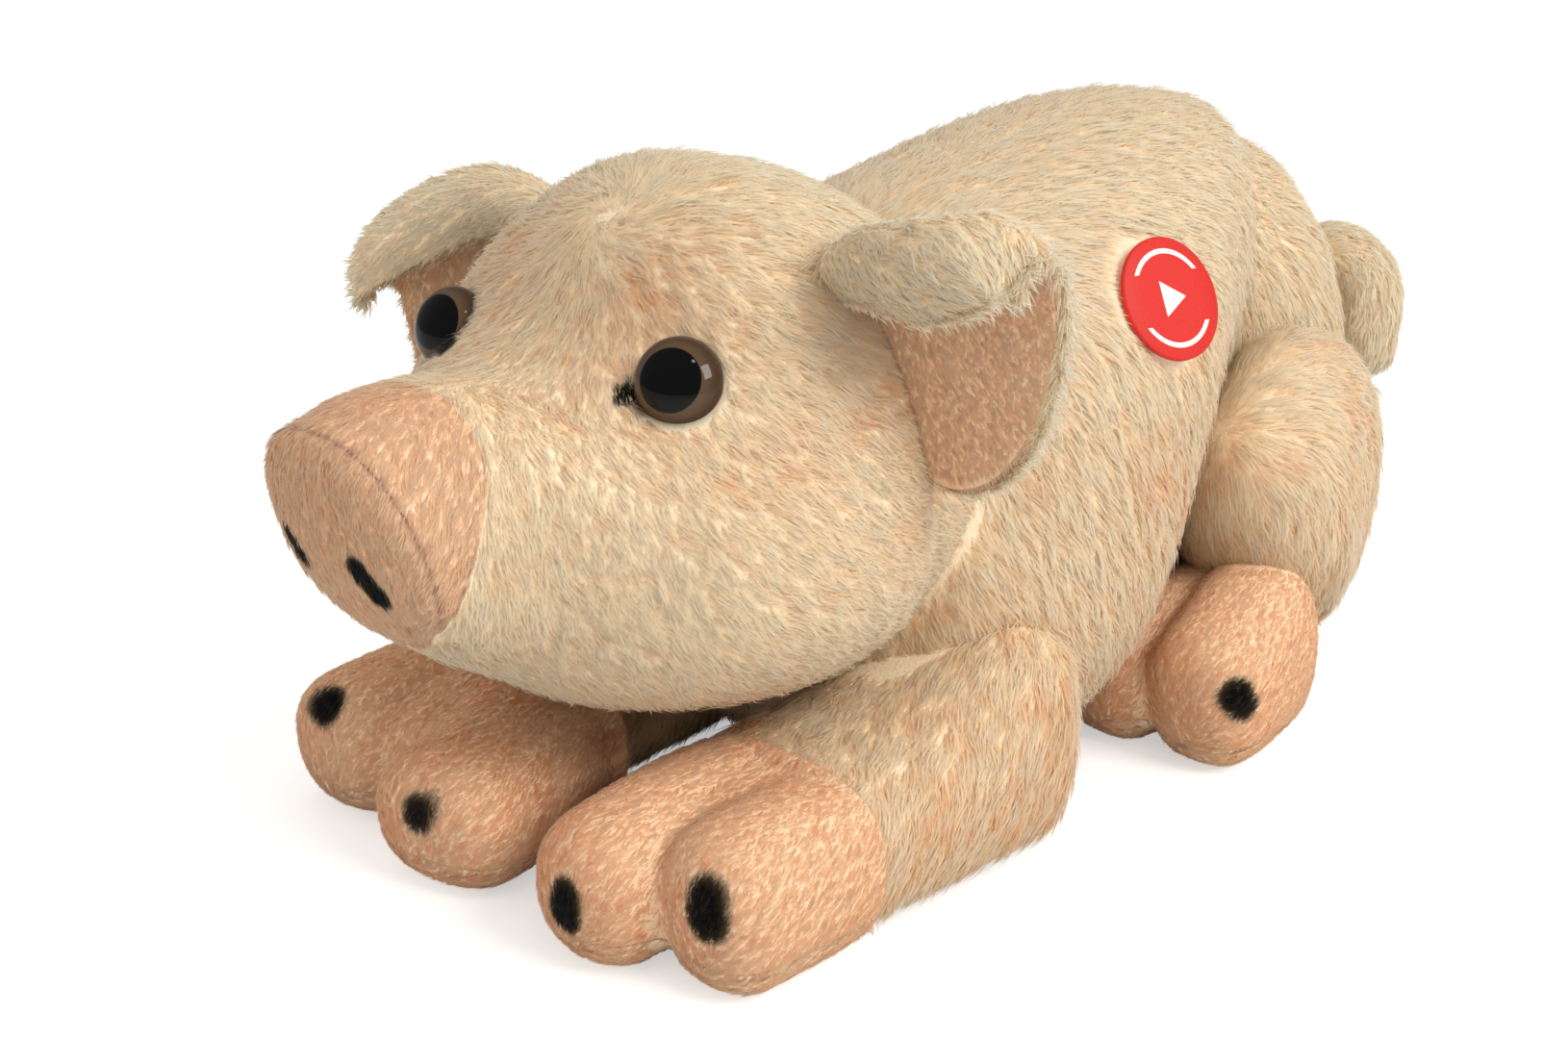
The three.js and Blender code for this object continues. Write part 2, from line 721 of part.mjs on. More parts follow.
const backShell = inUnit([
  [0, caseInnerBack],
  [bore, caseInnerBack],
  [bore, caseSplit + seamGap],
  [caseRadius, caseSplit + seamGap],
  [caseRadius, caseBack],
  [0, caseBack],
]);
const backPosts = around(
  caseScrew.count,
  postAt(screwPost.radius, caseSplit + seamGap, caseBack - caseWall / 2),
);
const grilleHole = disc(grille.holeRadius, caseInnerBack - 1, caseBack + 1);
const grilleHoles = around(grille.count, (index) =>
  offAxis(grilleHole, grille.ringRadius, index, grille.count),
);
const backCuts = joined([...threadHoles, ...grilleHoles, inUnit(grilleHole, smallSides)]);
add("case_back", joined([backShell, ...backPosts]).subtract(backCuts), blackPlastic);

for (let index = 0; index < caseScrew.count; index++) {
  const profile = [
    [0, screwTip],
    [caseScrew.radius, screwTip],
    [caseScrew.radius, screwHeadFront],
    [caseScrew.headRadius, screwHeadFront],
    [caseScrew.headRadius, screwHeadFront + caseScrew.headThickness],
    [0, screwHeadFront + caseScrew.headThickness],
  ];
  add(`case_screw_${index + 1}`, offAxis(profile, screwPost.pitchRadius, index, caseScrew.count), steel);
}

const postClearance = joined(
  around(caseScrew.count, postAt(screwPost.radius + runningGap, boardDepth - 1, boardBack + 1)),
);
add(
  "circuit_board",
  inUnit(disc(bore - runningGap, boardDepth, boardBack)).subtract(postClearance),
  boardGreen,
);
add("switch_dome", inUnit(disc(switchDome.radius, domeFront, domeFront + switchDome.thickness)), greyRubber);
for (let index = 0; index < cell.count; index++) {
  const profile = disc(cell.radius, cellFront, cellBack);
  add(`button_cell_${index + 1}`, offAxis(profile, cell.pitchRadius, index, cell.count, roundSides), steel);
}
add(
  "loudspeaker",
  inUnit([
    [0, magnetFront],
    [speaker.magnetRadius, magnetFront],
    [speaker.magnetRadius, rimFront],
    [speaker.radius, rimFront],
    [speaker.radius, rimBack],
    [0, rimBack],
  ]),
  blackPlastic,
);

// The room that the unit takes in the cloth and in the stuffing.
const patchHole = inUnit(disc(patchRadius + seamGap, -caseFront, caseFront));
const screwReach = screwPost.pitchRadius + caseScrew.headRadius + seamGap;
const unitEnd = screwHeadFront + caseScrew.headThickness + seamGap;
const unitPocket = inUnit([
  [0, 0],
  [patchRadius + seamGap, 0],
  [patchRadius + seamGap, caseFront - seamGap],
  [caseRadius + seamGap, caseFront - seamGap],
  [caseRadius + seamGap, caseBack + seamGap],
  [screwReach, caseBack + seamGap],
  [screwReach, unitEnd],
  [0, unitEnd],
]);

// Torso: a skin open at the neck, with sockets for the limbs, and the stuffing inside it

const sockets = joined([
  neckForm(jointGap, outside.sides),
  ball(shoulderPivot, shoulderRadius + jointGap),
  ball(mirrorPoint(shoulderPivot), shoulderRadius + jointGap),
  ball(hipPivot, hipRadius + jointGap),
  ball(mirrorPoint(hipPivot), hipRadius + jointGap),
  ball(tailPivot, tailBallRadius + jointGap),
]);
const torsoCloth = above(torsoForm(outside, 0), 0).subtract(torsoForm(inside, -pileThickness));
add("torso_skin", torsoCloth.subtract(sockets).subtract(patchHole), creamPlush);
const torsoFilling = torsoForm(inside, -pileThickness - seamGap);
add("torso_stuffing", torsoFilling.subtract(sockets).subtract(unitPocket), fibre);

// Legs: a sleeve with a ball of stuffing at the body end, and a two-toed foot with a sole

const toe = (path) => limbForm(path, toeCaps, limbSlices.toe, { fullness: toeFullness });
const toesOf = (paths) => joined(paths.map(toe));
const frontLeg = limbForm(frontLegStations, frontLegCaps, limbSlices.frontLeg, {
  fullness: sleeveFullness,
});
const thigh = (grow) => limbForm(hindLegStations, hindLegCaps, limbSlices.hindLeg, { grow });
const hindLeg = thigh(0);
const hindToesBare = toesOf(hindToes).subtract(thigh(seamGap));
const behindWrist = block([-far, wristSeam + seamGap / 2, -far], [far, far, far]);
const beyondWrist = block([-far, -far, -far], [far, wristSeam - seamGap / 2, far]);

const limbs = [
  {
    name: "front",
    leg: frontLeg.intersect(behindWrist),
    foot: (side) => toesOf([...frontToes[side], frontWebs[side]]).add(frontLeg).intersect(beyondWrist),
    pivot: shoulderPivot,
    radius: shoulderRadius,
    splay: frontSplay,
  },
  {
    name: "hind",
    leg: hindLeg,
    foot: () => hindToesBare,
    pivot: hipPivot,
    radius: hipRadius,
    splay: hindSplay,
  },
];

for (const { name, leg, foot, pivot, radius, splay } of limbs) {
  for (const side of ["left", "right"]) {
    const placed = (solid) => (side === "left" ? solid : mirrored(solid));
    const clear = (solid) => placed(trimmedClear(above(solid, 0), torsoClearance, pivot, upright, splay));
    add(`${name}_${side}_leg`, clear(leg).add(placed(ball(pivot, radius))), creamPlush);
    const wholeFoot = clear(foot(side));
    add(`${name}_${side}_foot`, above(wholeFoot, soleHeight + seamGap / 2), pinkVelour);
    add(`${name}_${side}_sole`, below(wholeFoot, soleHeight - seamGap / 2), creamPlush);
  }
}

// Tail: a stuffed tube, curled once towards the piglet's left

const tail = limbForm(tailStations, tailCaps, limbSlices.tail);
const tailTrimmed = trimmedClear(tail, torsoClearance, tailPivot, upright, tailWag);
add("tail", tailTrimmed.add(ball(tailPivot, tailBallRadius)), creamPlush);

export default toy;
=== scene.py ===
"""A soft plush piglet that lies on its belly, with a push-to-play sound unit in its left flank.

+Z is up, the snout points to -Y and +X is the piglet's own left. Sizes below are in millimetres, and a shape
becomes metres where it is put into its mesh.
"""

import bmesh
import bpy
import numpy as np
from mathutils import Matrix


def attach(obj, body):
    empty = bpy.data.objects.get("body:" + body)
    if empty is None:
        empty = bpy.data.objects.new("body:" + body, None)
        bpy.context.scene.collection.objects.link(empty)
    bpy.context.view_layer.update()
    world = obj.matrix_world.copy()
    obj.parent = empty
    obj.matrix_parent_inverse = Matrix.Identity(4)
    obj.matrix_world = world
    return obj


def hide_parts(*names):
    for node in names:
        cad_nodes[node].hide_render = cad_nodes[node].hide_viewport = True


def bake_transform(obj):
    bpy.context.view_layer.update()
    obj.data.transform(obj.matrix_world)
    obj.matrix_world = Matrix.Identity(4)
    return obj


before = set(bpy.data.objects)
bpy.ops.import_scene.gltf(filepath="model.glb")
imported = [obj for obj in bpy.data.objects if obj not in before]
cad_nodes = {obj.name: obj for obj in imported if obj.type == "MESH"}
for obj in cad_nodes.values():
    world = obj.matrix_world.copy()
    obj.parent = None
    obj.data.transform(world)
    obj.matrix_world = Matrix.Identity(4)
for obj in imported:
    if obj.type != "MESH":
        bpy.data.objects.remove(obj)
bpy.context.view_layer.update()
MM = 0.001

# Room: a white table top under a pale sky, with a large soft lamp high on the piglet's left and a small one
# beside the camera. The camera stands low in front of the piglet's left cheek.


def put_object(name, data):
    """A new object with this mesh, lamp or camera, in the scene."""
    made = bpy.data.objects.new(name, data)
    bpy.context.scene.collection.objects.link(made)
    return made


camera_place = (220.0, -265.5, 149.3)
camera_right = (0.706, 0.7082, 0.0053)
camera_up = (-0.2175, 0.2097, 0.9533)
camera_back = (0.674, -0.6742, 0.302)
focal_length = 40.82
sensor_width = 36.0
camera_data = bpy.data.cameras.new("camera")
camera_data.lens = focal_length
camera_data.sensor_width = sensor_width
camera_data.clip_start = 0.01
camera_data.clip_end = 50
camera = put_object("camera", camera_data)


def set_axes(thing, right, up, back, place):
    """Put a thing at a place, with its own three axes along three directions."""
    axes = np.eye(4)
    axes[:3, 0], axes[:3, 1], axes[:3, 2], axes[:3, 3] = right, up, back, np.array(place) * MM
    thing.matrix_world = Matrix(axes.tolist())


set_axes(camera, camera_right, camera_up, camera_back, camera_place)
bpy.context.scene.camera = camera
bpy.context.scene.view_settings.view_transform = "Standard"


class Nodes:
    """A short way to wire a material: each call adds one node, sets its plain inputs and links the others."""

    def __init__(self, tree):
        self.tree = tree
        tree.nodes.clear()

    def add(self, kind, settings=None, **inputs):
        """One node. Settings are its properties, and inputs are numbers, colours or other nodes' outputs."""
        node = self.tree.nodes.new(kind)
        for key, value in (settings or {}).items():
            setattr(node, key, value)
        for key, value in inputs.items():
            name = key.replace("_", " ")
            socket = node.inputs[int(key[1:])] if key[1:].isdigit() else node.inputs[name]
            if isinstance(value, bpy.types.NodeSocket):
                self.tree.links.new(value, socket)
            else:
                socket.default_value = value
        return node

    def math(self, operation, a, b=0.0, clamp=False):
        """The sum, product, power or other plain operation of two values."""
        settings = {"operation": operation, "use_clamp": clamp}
        return self.add("ShaderNodeMath", settings, _0=a, _1=b).outputs[0]

    def mix(self, share, a, b, blend="MIX"):
        """Colour a, turned into colour b by a share."""
        settings = {"data_type": "RGBA", "blend_type": blend}
        return self.add("ShaderNodeMix", settings, _0=share, _6=a, _7=b).outputs[2]

    def attribute(self, name):
        """A value that is kept on the mesh under a name."""
        return self.add("ShaderNodeAttribute", {"attribute_name": name}).outputs["Fac"]

    def noise(self, scale, detail=2.0, roughness=0.5):
        """Cloudy noise from 0 to 1 on object coordinates."""
        place = self.add("ShaderNodeTexCoord").outputs["Object"]
        node = self.add("ShaderNodeTexNoise", Vector=place, Scale=scale, Detail=detail, Roughness=roughness)
        return node.outputs[0]

    def surface(self, shader):
        """The shader that the material shows."""
        self.add("ShaderNodeOutputMaterial", Surface=shader.outputs[0])

    def steps(self, value, low, high, out_low=0.0, out_high=1.0):
        """A value from a low to a high mark, eased into a share, and flat beyond the two marks."""
        settings = {"interpolation_type": "SMOOTHSTEP"}
        ranges = {"_1": low, "_2": high, "_3": out_low, "_4": out_high}
        return self.add("ShaderNodeMapRange", settings, Value=value, **ranges).outputs[0]


def colour(r, g, b):
    """A screen colour from 0 to 1 as the linear colour that a shader takes."""
    return tuple(float(c / 12.92 if c < 0.04045 else ((c + 0.055) / 1.055) ** 2.4) for c in (r, g, b)) + (1.0,)


def material(name):
    """An empty material and the nodes of its tree."""
    made = bpy.data.materials.new(name)
    made.use_nodes = True
    return made, Nodes(made.node_tree)


table_glow = 0.5
white_top, n = material("table_top")
seen = n.math("MULTIPLY", n.add("ShaderNodeLightPath").outputs["Is Camera Ray"], table_glow)
lit = n.add("ShaderNodeBsdfDiffuse", Color=colour(0.9, 0.9, 0.895))
own = n.add("ShaderNodeEmission", Color=(1, 1, 1, 1), Strength=seen)
both = n.add("ShaderNodeAddShader", _0=lit.outputs[0], _1=own.outputs[0])
n.surface(both)

table_reach = 20.0
corners = [(-table_reach, -table_reach, 0), (table_reach, -table_reach, 0), (table_reach, table_reach, 0),
           (-table_reach, table_reach, 0)]
table_mesh = bpy.data.meshes.new("table_top")
table_mesh.from_pydata(corners, [], [(0, 1, 2, 3)])
table_mesh.materials.append(white_top)
put_object("table_top", table_mesh)

sky_light = 0.9
sky_seen = 1.3
sky_mirrored = 0.3
sky = bpy.data.worlds.new("sky")
bpy.context.scene.world = sky
sky.use_nodes = True
n = Nodes(sky.node_tree)
path = n.add("ShaderNodeLightPath")
mirrored_share = n.math("MULTIPLY", path.outputs["Is Glossy Ray"], sky_light - sky_mirrored)
seen = n.math("MULTIPLY", path.outputs["Is Camera Ray"], sky_seen - sky_light)
strength = n.math("SUBTRACT", n.math("ADD", seen, sky_light), mirrored_share)
n.add("ShaderNodeOutputWorld", Surface=n.add("ShaderNodeBackground", Strength=strength).outputs[0])


def lamp(name, place, aim, size, power, tint):
    """A square lamp at a place, facing the point it is aimed at."""
    data = bpy.data.lights.new(name, "AREA")
    data.size, data.energy, data.color = size * MM, power, tint
    away = np.subtract(place, aim) / np.linalg.norm(np.subtract(place, aim))
    across = np.cross((0, 0, 1), away)
    across /= np.linalg.norm(across)
    set_axes(put_object(name, data), across, np.cross(away, across), away, place)


lamp("window_lamp", (760, 20, 640), (0, 0, 60), 420, 5.0, (1.0, 0.985, 0.95))
lamp("pane_lamp", (283, -231, 618), (29, -97, 90), 60, 0.12, (1.0, 0.99, 0.97))

# Torso: a stuffed body of long-pile cream plush, sewn inside out from a few panels, turned and filled through a
# gap under the belly. Its slices go from chest to rump: y, half width, top, height of the widest point,
# underside, and how far the slice leans back for each millimetre of height.

sit_depth = 0.5
torso_stations = [
    [-58, 37, 58, 34, 8, 0],
    [-44, 45, 88, 42, 3, 0],
    [-26, 51, 106.5, 46, 0, 0],
    [-6, 52, 115.5, 48, -sit_depth, 0.1],
    [12, 48.5, 123.5, 48, -sit_depth, 0.35],
    [28, 39.5, 123.5, 48, -sit_depth, 0.5],
    [46, 33, 118.5, 48, -sit_depth, 0.45],
    [66, 33, 115.5, 48, -sit_depth, 0.25],
    [88, 35, 112, 48, -sit_depth, 0.05],
    [106, 32.5, 100, 48, 2, 0],
    [122, 27, 85.5, 48, 10, 0],
]
torso_fullness = 2.4
torso_caps = (16, 26)
long_pile_depth = 1.5
table_clearance = 0.4
far_off = 1000.0


def read_stations(stations, shares):
    """Each column of a table, read at shares of the way down it, on a smooth curve through its rows."""
    stations = np.array(stations, float)
    last = len(stations) - 1
    i = np.minimum((shares * last).astype(int), last - 1)
    t = (shares * last - i)[:, None]
    here, after = stations[i], stations[i + 1]
    before, beyond = stations[np.maximum(i - 1, 0)], stations[np.minimum(i + 2, last)]
    leaving = (after - before) / 2 * (t**3 - 2 * t**2 + t)
    arriving = (beyond - here) / 2 * (t**3 - t**2)
    return here + (after - here) * (3 * t**2 - 2 * t**3) + leaving + arriving


def rounded_end(distance, cap):
    """The share of its full size that a form has at a distance from an end that rounds off over a length."""
    return np.sqrt(1 - (1 - np.clip(distance / cap, 0.0002, 1)) ** 2)


def squared_off(wave, fullness):
    """A sine or cosine, kept nearer to its ends by the fullness power: 2 gives an oval, and more a rounded box."""
    return np.sign(wave) * np.abs(wave) ** (2 / fullness)


def sliced_rings(stations, fullness, caps, grow, slices, sides):
    """Slices across a form. Each is a rounded box whose corners are set by the fullness power, as tall above its
    widest height as the table says and as deep below it, leaning with its height, and shrunk towards both ends."""
    shares = 0.5 - 0.5 * np.cos(np.linspace(0, np.pi, slices + 1))
    plain, half_width, top, widest, bottom, lean = read_stations(stations, shares).T[:, :, None]
    first, last = stations[0][0], stations[-1][0]
    y = first - grow + (plain - first) * (last - first + 2 * grow) / (last - first)
    size = rounded_end(y - first + grow, caps[0] + grow) * rounded_end(last + grow - y, caps[1] + grow)
    angle = np.linspace(0, 2 * np.pi, sides, endpoint=False)[None]
    across, upward = squared_off(np.cos(angle), fullness), squared_off(np.sin(angle), fullness)
    rise = (np.where(upward > 0, top - widest, widest - bottom) + grow) * size * upward
    return np.stack([(half_width + grow) * size * across, y + lean * rise, widest + rise], axis=-1)


def closed_tube(rings):
    """Points and faces of a tube of rings, closed with a fan at both ends. Rings turn so that faces point out."""
    count, sides = rings.shape[:2]
    at = np.arange(count * sides).reshape(count, sides)
    beside = np.roll(at, -1, axis=1)
    quads = np.stack([at[:-1], beside[:-1], beside[1:], at[1:]], axis=-1).reshape(-1, 4)
    hubs = np.array([rings[0].mean(0), rings[-1].mean(0)])
    start = np.stack([beside[0], at[0], np.full(sides, count * sides)], axis=-1)
    end = np.stack([at[-1], beside[-1], np.full(sides, count * sides + 1)], axis=-1)
    points = np.concatenate([rings.reshape(-1, 3), hubs])
    return points, quads.tolist() + start.tolist() + end.tolist()


def put_mesh(name, points, faces, finish=None):
    """An object at the origin with a smooth mesh of these points, turned from millimetres into metres."""
    mesh = bpy.data.meshes.new(name)
    mesh.from_pydata((points * MM).tolist(), [], faces)
    mesh.shade_smooth()
    if finish:
        mesh.materials.append(finish)
    return put_object(name, mesh)


def in_metres(place, side=1):
    """A place in millimetres as a list in metres, as it is on the piglet's left or mirrored to its right."""
    return (np.array(place) * [side, 1, 1] * MM).tolist()


def face_outwards(piece):
    """Turn a closed piece's faces the right way out."""
    shell = bmesh.new()
    shell.from_mesh(piece.data)
    bmesh.ops.recalc_face_normals(shell, faces=shell.faces)
    shell.to_mesh(piece.data)
    shell.free()


def inside_slices(points, stations, fullness, grow):
    """Which points lie in a sliced form: the point's slice is found from its y, less what that slice leans, and
    the powers of its offsets over the slice's half sizes add up to less than one."""
    table = read_stations(stations, np.linspace(0, 1, 200))
    x, y, z = points.T
    flat = y
    for _ in range(3):
        lean, widest = (np.interp(flat, table[:, 0], table[:, c]) for c in (5, 3))
        flat = y - lean * (z - widest)
    half_width, top, widest, bottom = (np.interp(flat, table[:, 0], table[:, c]) for c in (1, 2, 3, 4))
    tall = np.where(z > widest, top - widest, widest - bottom)
    within = (flat > table[0, 0] - grow) & (flat < table[-1, 0] + grow)
    reach = np.abs(x / (half_width + grow)) ** fullness + np.abs((z - widest) / (tall + grow)) ** fullness
    return within & (reach < 1)


def unit(vectors):
    """The same directions with a length of one."""
    return vectors / np.maximum(np.linalg.norm(vectors, axis=-1, keepdims=True), 1e-9)


def surface_of(piece):
    """Points in millimetres, triangles and point normals of a piece's mesh."""
    mesh = piece.data
    mesh.calc_loop_triangles()
    triangles = np.empty(len(mesh.loop_triangles) * 3, np.int32)
    mesh.loop_triangles.foreach_get("vertices", triangles)
    points = np.empty(len(mesh.vertices) * 3)
    mesh.vertices.foreach_get("co", points)
    normals = np.empty(len(mesh.vertices) * 3)
    mesh.vertices.foreach_get("normal", normals)
    return points.reshape(-1, 3) / MM, triangles.reshape(-1, 3), normals.reshape(-1, 3)


def keep_values(mesh, values):
    """Values on a mesh's points, kept under their names for its finish to read."""
    for key, value in values.items():
        mesh.attributes.new(key, "FLOAT", "POINT").data.foreach_set("value", value.astype(np.float32))


def tuft_shares(p, size, seed):
    """For each point, the way to the nearest of a jittered lattice of points, and three random shares that all
    points nearest to the same one have in common. Shares come from mixing the bits of the lattice's counts."""
    cell = np.floor(p / size).astype(np.int64)
    least = np.full(len(p), np.inf)
    way, shares = np.zeros_like(p), np.zeros_like(p)
    for shift in np.ndindex(3, 3, 3):
        at = cell + np.array(shift) - 1
        mixed = (at * [73856093, 19349663, 83492791]).sum(1) + seed * 7919
        drawn = []
        for _ in range(3):
            mixed = (mixed ^ (mixed >> 13)) * 1274126177 & 0x7FFFFFFF
            mixed = (mixed ^ (mixed >> 16)) * 668265263 & 0x7FFFFFFF
            drawn.append(mixed / 0x7FFFFFFF)
        drawn = np.stack(drawn, axis=1)
        span = (at + drawn) * size - p
        far = (span**2).sum(1)
        closer = far < least
        least[closer], way[closer], shares[closer] = far[closer], span[closer], drawn[closer]
    return way, shares


def grow_pile(name, surface, finish, comb, nap, keep=None, seed=1, marks=None):
    """Pile on a surface, as narrow blades scattered evenly by area. A blade starts at a point in the cloth, is
    widest at its belly and ends in a point. It leans the way its place is combed, and all blades of a tuft swing
    and stretch alike and gather towards its middle."""
    rng = np.random.default_rng(seed)
    points, triangles, normals = surface
    a, b, c = (points[triangles[:, i]] for i in range(3))
    area = np.linalg.norm(np.cross(b - a, c - a), axis=1) / 2
    count = int(area.sum() * nap["density"] * (1.0))
    even = (np.arange(count) + rng.random(count)) / count
    pick = np.searchsorted(np.cumsum(area) / area.sum(), even).clip(0, len(area) - 1)
    u, v = rng.random((2, count, 1))
    u, v = np.where(u + v > 1, 1 - u, u), np.where(u + v > 1, 1 - v, v)
    place = a[pick] * (1 - u - v) + b[pick] * u + c[pick] * v
    na, nb, nc = (normals[triangles[pick, i]] for i in range(3))
    up = unit(na * (1 - u - v) + nb * u + nc * v)
    if keep is not None:
        kept = keep(place, up)
        place, up = place[kept], up[kept]
    total = len(place)
    way, shares = tuft_shares(place, nap["tuft"], seed)
    way = way - up * (way * up).sum(1, keepdims=True)
    lay = comb(place)
    lay = unit(lay - up * (lay * up).sum(1, keepdims=True))
    swing = nap["wander"] * (2 * shares[:, :1] - 1) + rng.normal(0, nap["stray"], (total, 1))
    lay = lay * np.cos(swing) + np.cross(up, lay) * np.sin(swing)
    side = np.cross(up, lay)
    length = nap["length"](place) if callable(nap["length"]) else np.full(total, float(nap["length"]))
    length = length[:, None] * (0.8 + 0.35 * shares[:, 1:2]) * rng.uniform(0.75, 1.1, (total, 1))
    rise = nap["lift"] * (0.6 + 0.5 * shares[:, 2:] + 2.2 * rng.random((total, 1)) ** 6)
    curl = nap["curl"] * (2 * shares[:, 2:] - 1) * length
    root = place - nap["rooted"] * up
    belly = root + nap["belly"] * length * (np.cos(rise) * lay + np.sin(rise) * up) + nap["rooted"] * up
    belly = belly + 0.5 * curl * side + 0.3 * nap["gather"] * way
    fall = rise * nap["droop"]
    rest = (1 - nap["belly"]) * length
    tip = belly + rest * (np.cos(fall) * lay + np.sin(fall) * up) - curl * side + 0.7 * nap["gather"] * way
    along = unit(tip - root)
    across = unit(np.cross(up, along))
    roll = rng.normal(0, nap["roll"], (total, 1))
    across = np.cos(roll) * across + np.sin(roll) * np.cross(along, across)
    half = nap["width"] / 2 * rng.uniform(0.75, 1.25, (total, 1))
    blades = np.stack([root, belly - half * across, belly + half * across, tip], axis=1).reshape(-1, 3)
    blades[:, 2] = np.maximum(blades[:, 2], table_clearance)
    bent = [up, unit(up - nap["round"] * across), unit(up + nap["round"] * across), up]
    shade = np.stack(bent, axis=1).reshape(-1, 3)
    loops = (np.array([0, 1, 2, 2, 1, 3])[None] + 4 * np.arange(total)[:, None]).reshape(-1)
    mesh = bpy.data.meshes.new(name)
    mesh.vertices.add(total * 4)
    mesh.vertices.foreach_set("co", (blades * MM).astype(np.float32).ravel())
    mesh.loops.add(total * 6)
    mesh.loops.foreach_set("vertex_index", loops.astype(np.int32))
    mesh.polygons.add(total * 2)
    mesh.polygons.foreach_set("loop_start", np.arange(0, total * 6, 3, dtype=np.int32))
    mesh.update(calc_edges=True)
    mesh.shade_smooth()
    tone = np.repeat(0.65 * shares[:, 0] + 0.35 * rng.random(total), 4)
    values = {"along": np.tile([0, nap["belly"], nap["belly"], 1.0], total), "tone": tone}
    values.update({key: mark(blades) for key, mark in (marks or {}).items()})
    keep_values(mesh, values)
    columns = int(np.ceil(np.sqrt(total)))
    cell = np.arange(total)[:, None]
    flat_u = (cell % columns + np.array([0.5, 0.15, 0.85, 0.5])) / columns
    flat_v = (cell // columns + np.array([0.1, 0.42, 0.42, 0.9])) / columns
    flat = np.stack([flat_u, flat_v], axis=-1).reshape(-1, 2)[loops]
    mesh.uv_layers.new(name="OFBake").data.foreach_set("uv", flat.astype(np.float32).ravel())
    mesh.normals_split_custom_set_from_vertices(shade.tolist())
    mesh.materials.append(finish)
    return put_object(name, mesh)


def mark_cloth(piece, marks):
    """Keeps marks on the points of a cloth, as they are on the pile over it."""
    points = surface_of(piece)[0]
    keep_values(piece.data, {key: mark(points) for key, mark in marks.items()})


crease_colour = colour(0.72, 0.48, 0.36)


def cloth_finish(name, deep, light):
    """The knitted back of plush cloth: a deep colour in the gaps with lighter specks where the yarn shows."""
    made, n = material(name)
    specks = n.steps(n.noise(900, 3, 0.6), 0.35, 0.7)
    base = n.mix(specks, deep, light)
    base = n.mix(n.math("MULTIPLY", n.attribute("crease"), 0.8), base, crease_colour)
    # Near black where the dark mark is: airbrush paint on the nostrils and hoof tips, and painted shade round the
    # eyes.
    base = n.mix(n.steps(n.attribute("dark"), 0.1, 0.7), base, colour(0.13, 0.1, 0.07))
    bump = n.add("ShaderNodeBump", Strength=0.4, Distance=0.0004, Height=n.noise(1600, 2)).outputs[0]
    shader = n.add("ShaderNodeBsdfPrincipled", Base_Color=base, Roughness=0.95, Normal=bump)
    n.surface(shader)
    return made


def pile_finish(name, deep, middle, light, flush):
    """Pile that is deep in colour at its roots and pale at its tips, with flushed patches, tufts that differ a
    little from each other, and black spots of airbrush paint with a brown edge. Round the eyes that brown edge
    is painted shade, and between the legs the flush is painted shade."""
    made, n = material(name)
    along = n.attribute("along")
    lower = n.mix(n.steps(along, 0.0, 0.45), deep, middle)
    base = n.mix(n.steps(along, 0.3, 0.95), lower, light)
    patches = n.steps(n.noise(45, 3, 0.55), 0.4, 0.75, 0.3, 1.0)
    # The blush mark is the pile's own flush on the head and body, and painted shade between the legs.
    blush_and_shade = n.math("MULTIPLY", n.attribute("blush_and_shade"), patches)
    fleck = n.steps(n.attribute("tone"), 0.5, 0.85)
    streaks = n.math("MULTIPLY", fleck, n.math("ADD", n.math("MULTIPLY", blush_and_shade, 0.7), 0.22))
    base = n.mix(n.math("ADD", streaks, n.math("MULTIPLY", blush_and_shade, 0.5)), base, flush)
    base = n.mix(n.math("MULTIPLY", n.attribute("crease"), 0.75), base, crease_colour)
    # The dark mark: black airbrush paint on the nostrils and hoof tips, and painted shade in a brown ring round the
    # eyes.
    dark = n.attribute("dark")
    base = n.mix(n.steps(dark, 0.05, 0.5), base, colour(0.36, 0.29, 0.16))
    base = n.mix(n.steps(dark, 0.3, 0.85), base, colour(0.05, 0.045, 0.035))
    shader = n.add("ShaderNodeBsdfPrincipled", Base_Color=base, Roughness=0.85, Sheen_Weight=0.25)
    shader.inputs["Sheen Roughness"].default_value = 0.5
    shader.inputs["Specular IOR Level"].default_value = 0.2
    through = n.add("ShaderNodeBsdfTranslucent", Color=base)
    both = n.add("ShaderNodeMixShader", _0=0.58, _1=shader.outputs[0], _2=through.outputs[0])
    n.surface(both)
    return made


cream_cloth = cloth_finish("cream_cloth", colour(0.98, 0.88, 0.74), colour(0.98, 0.92, 0.81))
cream_pile = pile_finish(
    "cream_pile",
    colour(0.98, 0.905, 0.785), colour(0.98, 0.948, 0.868), colour(0.985, 0.968, 0.91), colour(0.98, 0.84, 0.68),
)
patch_place = np.array([45.0, 7.5, 91.0])
patch_facing = np.array([0.892539, -0.157379, 0.422618])
patch_radius = 11.5


def beside(x):
    """-1 on the piglet's right, 1 on its left, and a smooth turn between them over its middle."""
    return np.tanh(x / 8)


def torso_comb(p):
    """Combed back from the head, out over the back and down the flanks."""
    x, y, z = p.T
    top = np.clip((z - 78) / 34, 0, 1)
    return np.stack([0.35 * beside(x), 0.45 + 0.75 * top, -0.9 * (1 - top)], axis=1)


def torso_blush(p):
    """The pile is creamier on the back and peachier low on the flanks."""
    return np.interp(p[:, 2], [25, 60, 85, 110], [0.85, 0.6, 0.2, 0.1])


long_nap = {
    "density": 3.4, "tuft": 2.2, "length": 6.5, "width": 0.32, "gather": 0.3,
    "wander": 0.3, "curl": 0.1, "lift": 0.17, "droop": 0.15, "round": 0.15,
    "stray": 0.12, "roll": 0.45, "rooted": 0.3, "belly": 0.4,
}

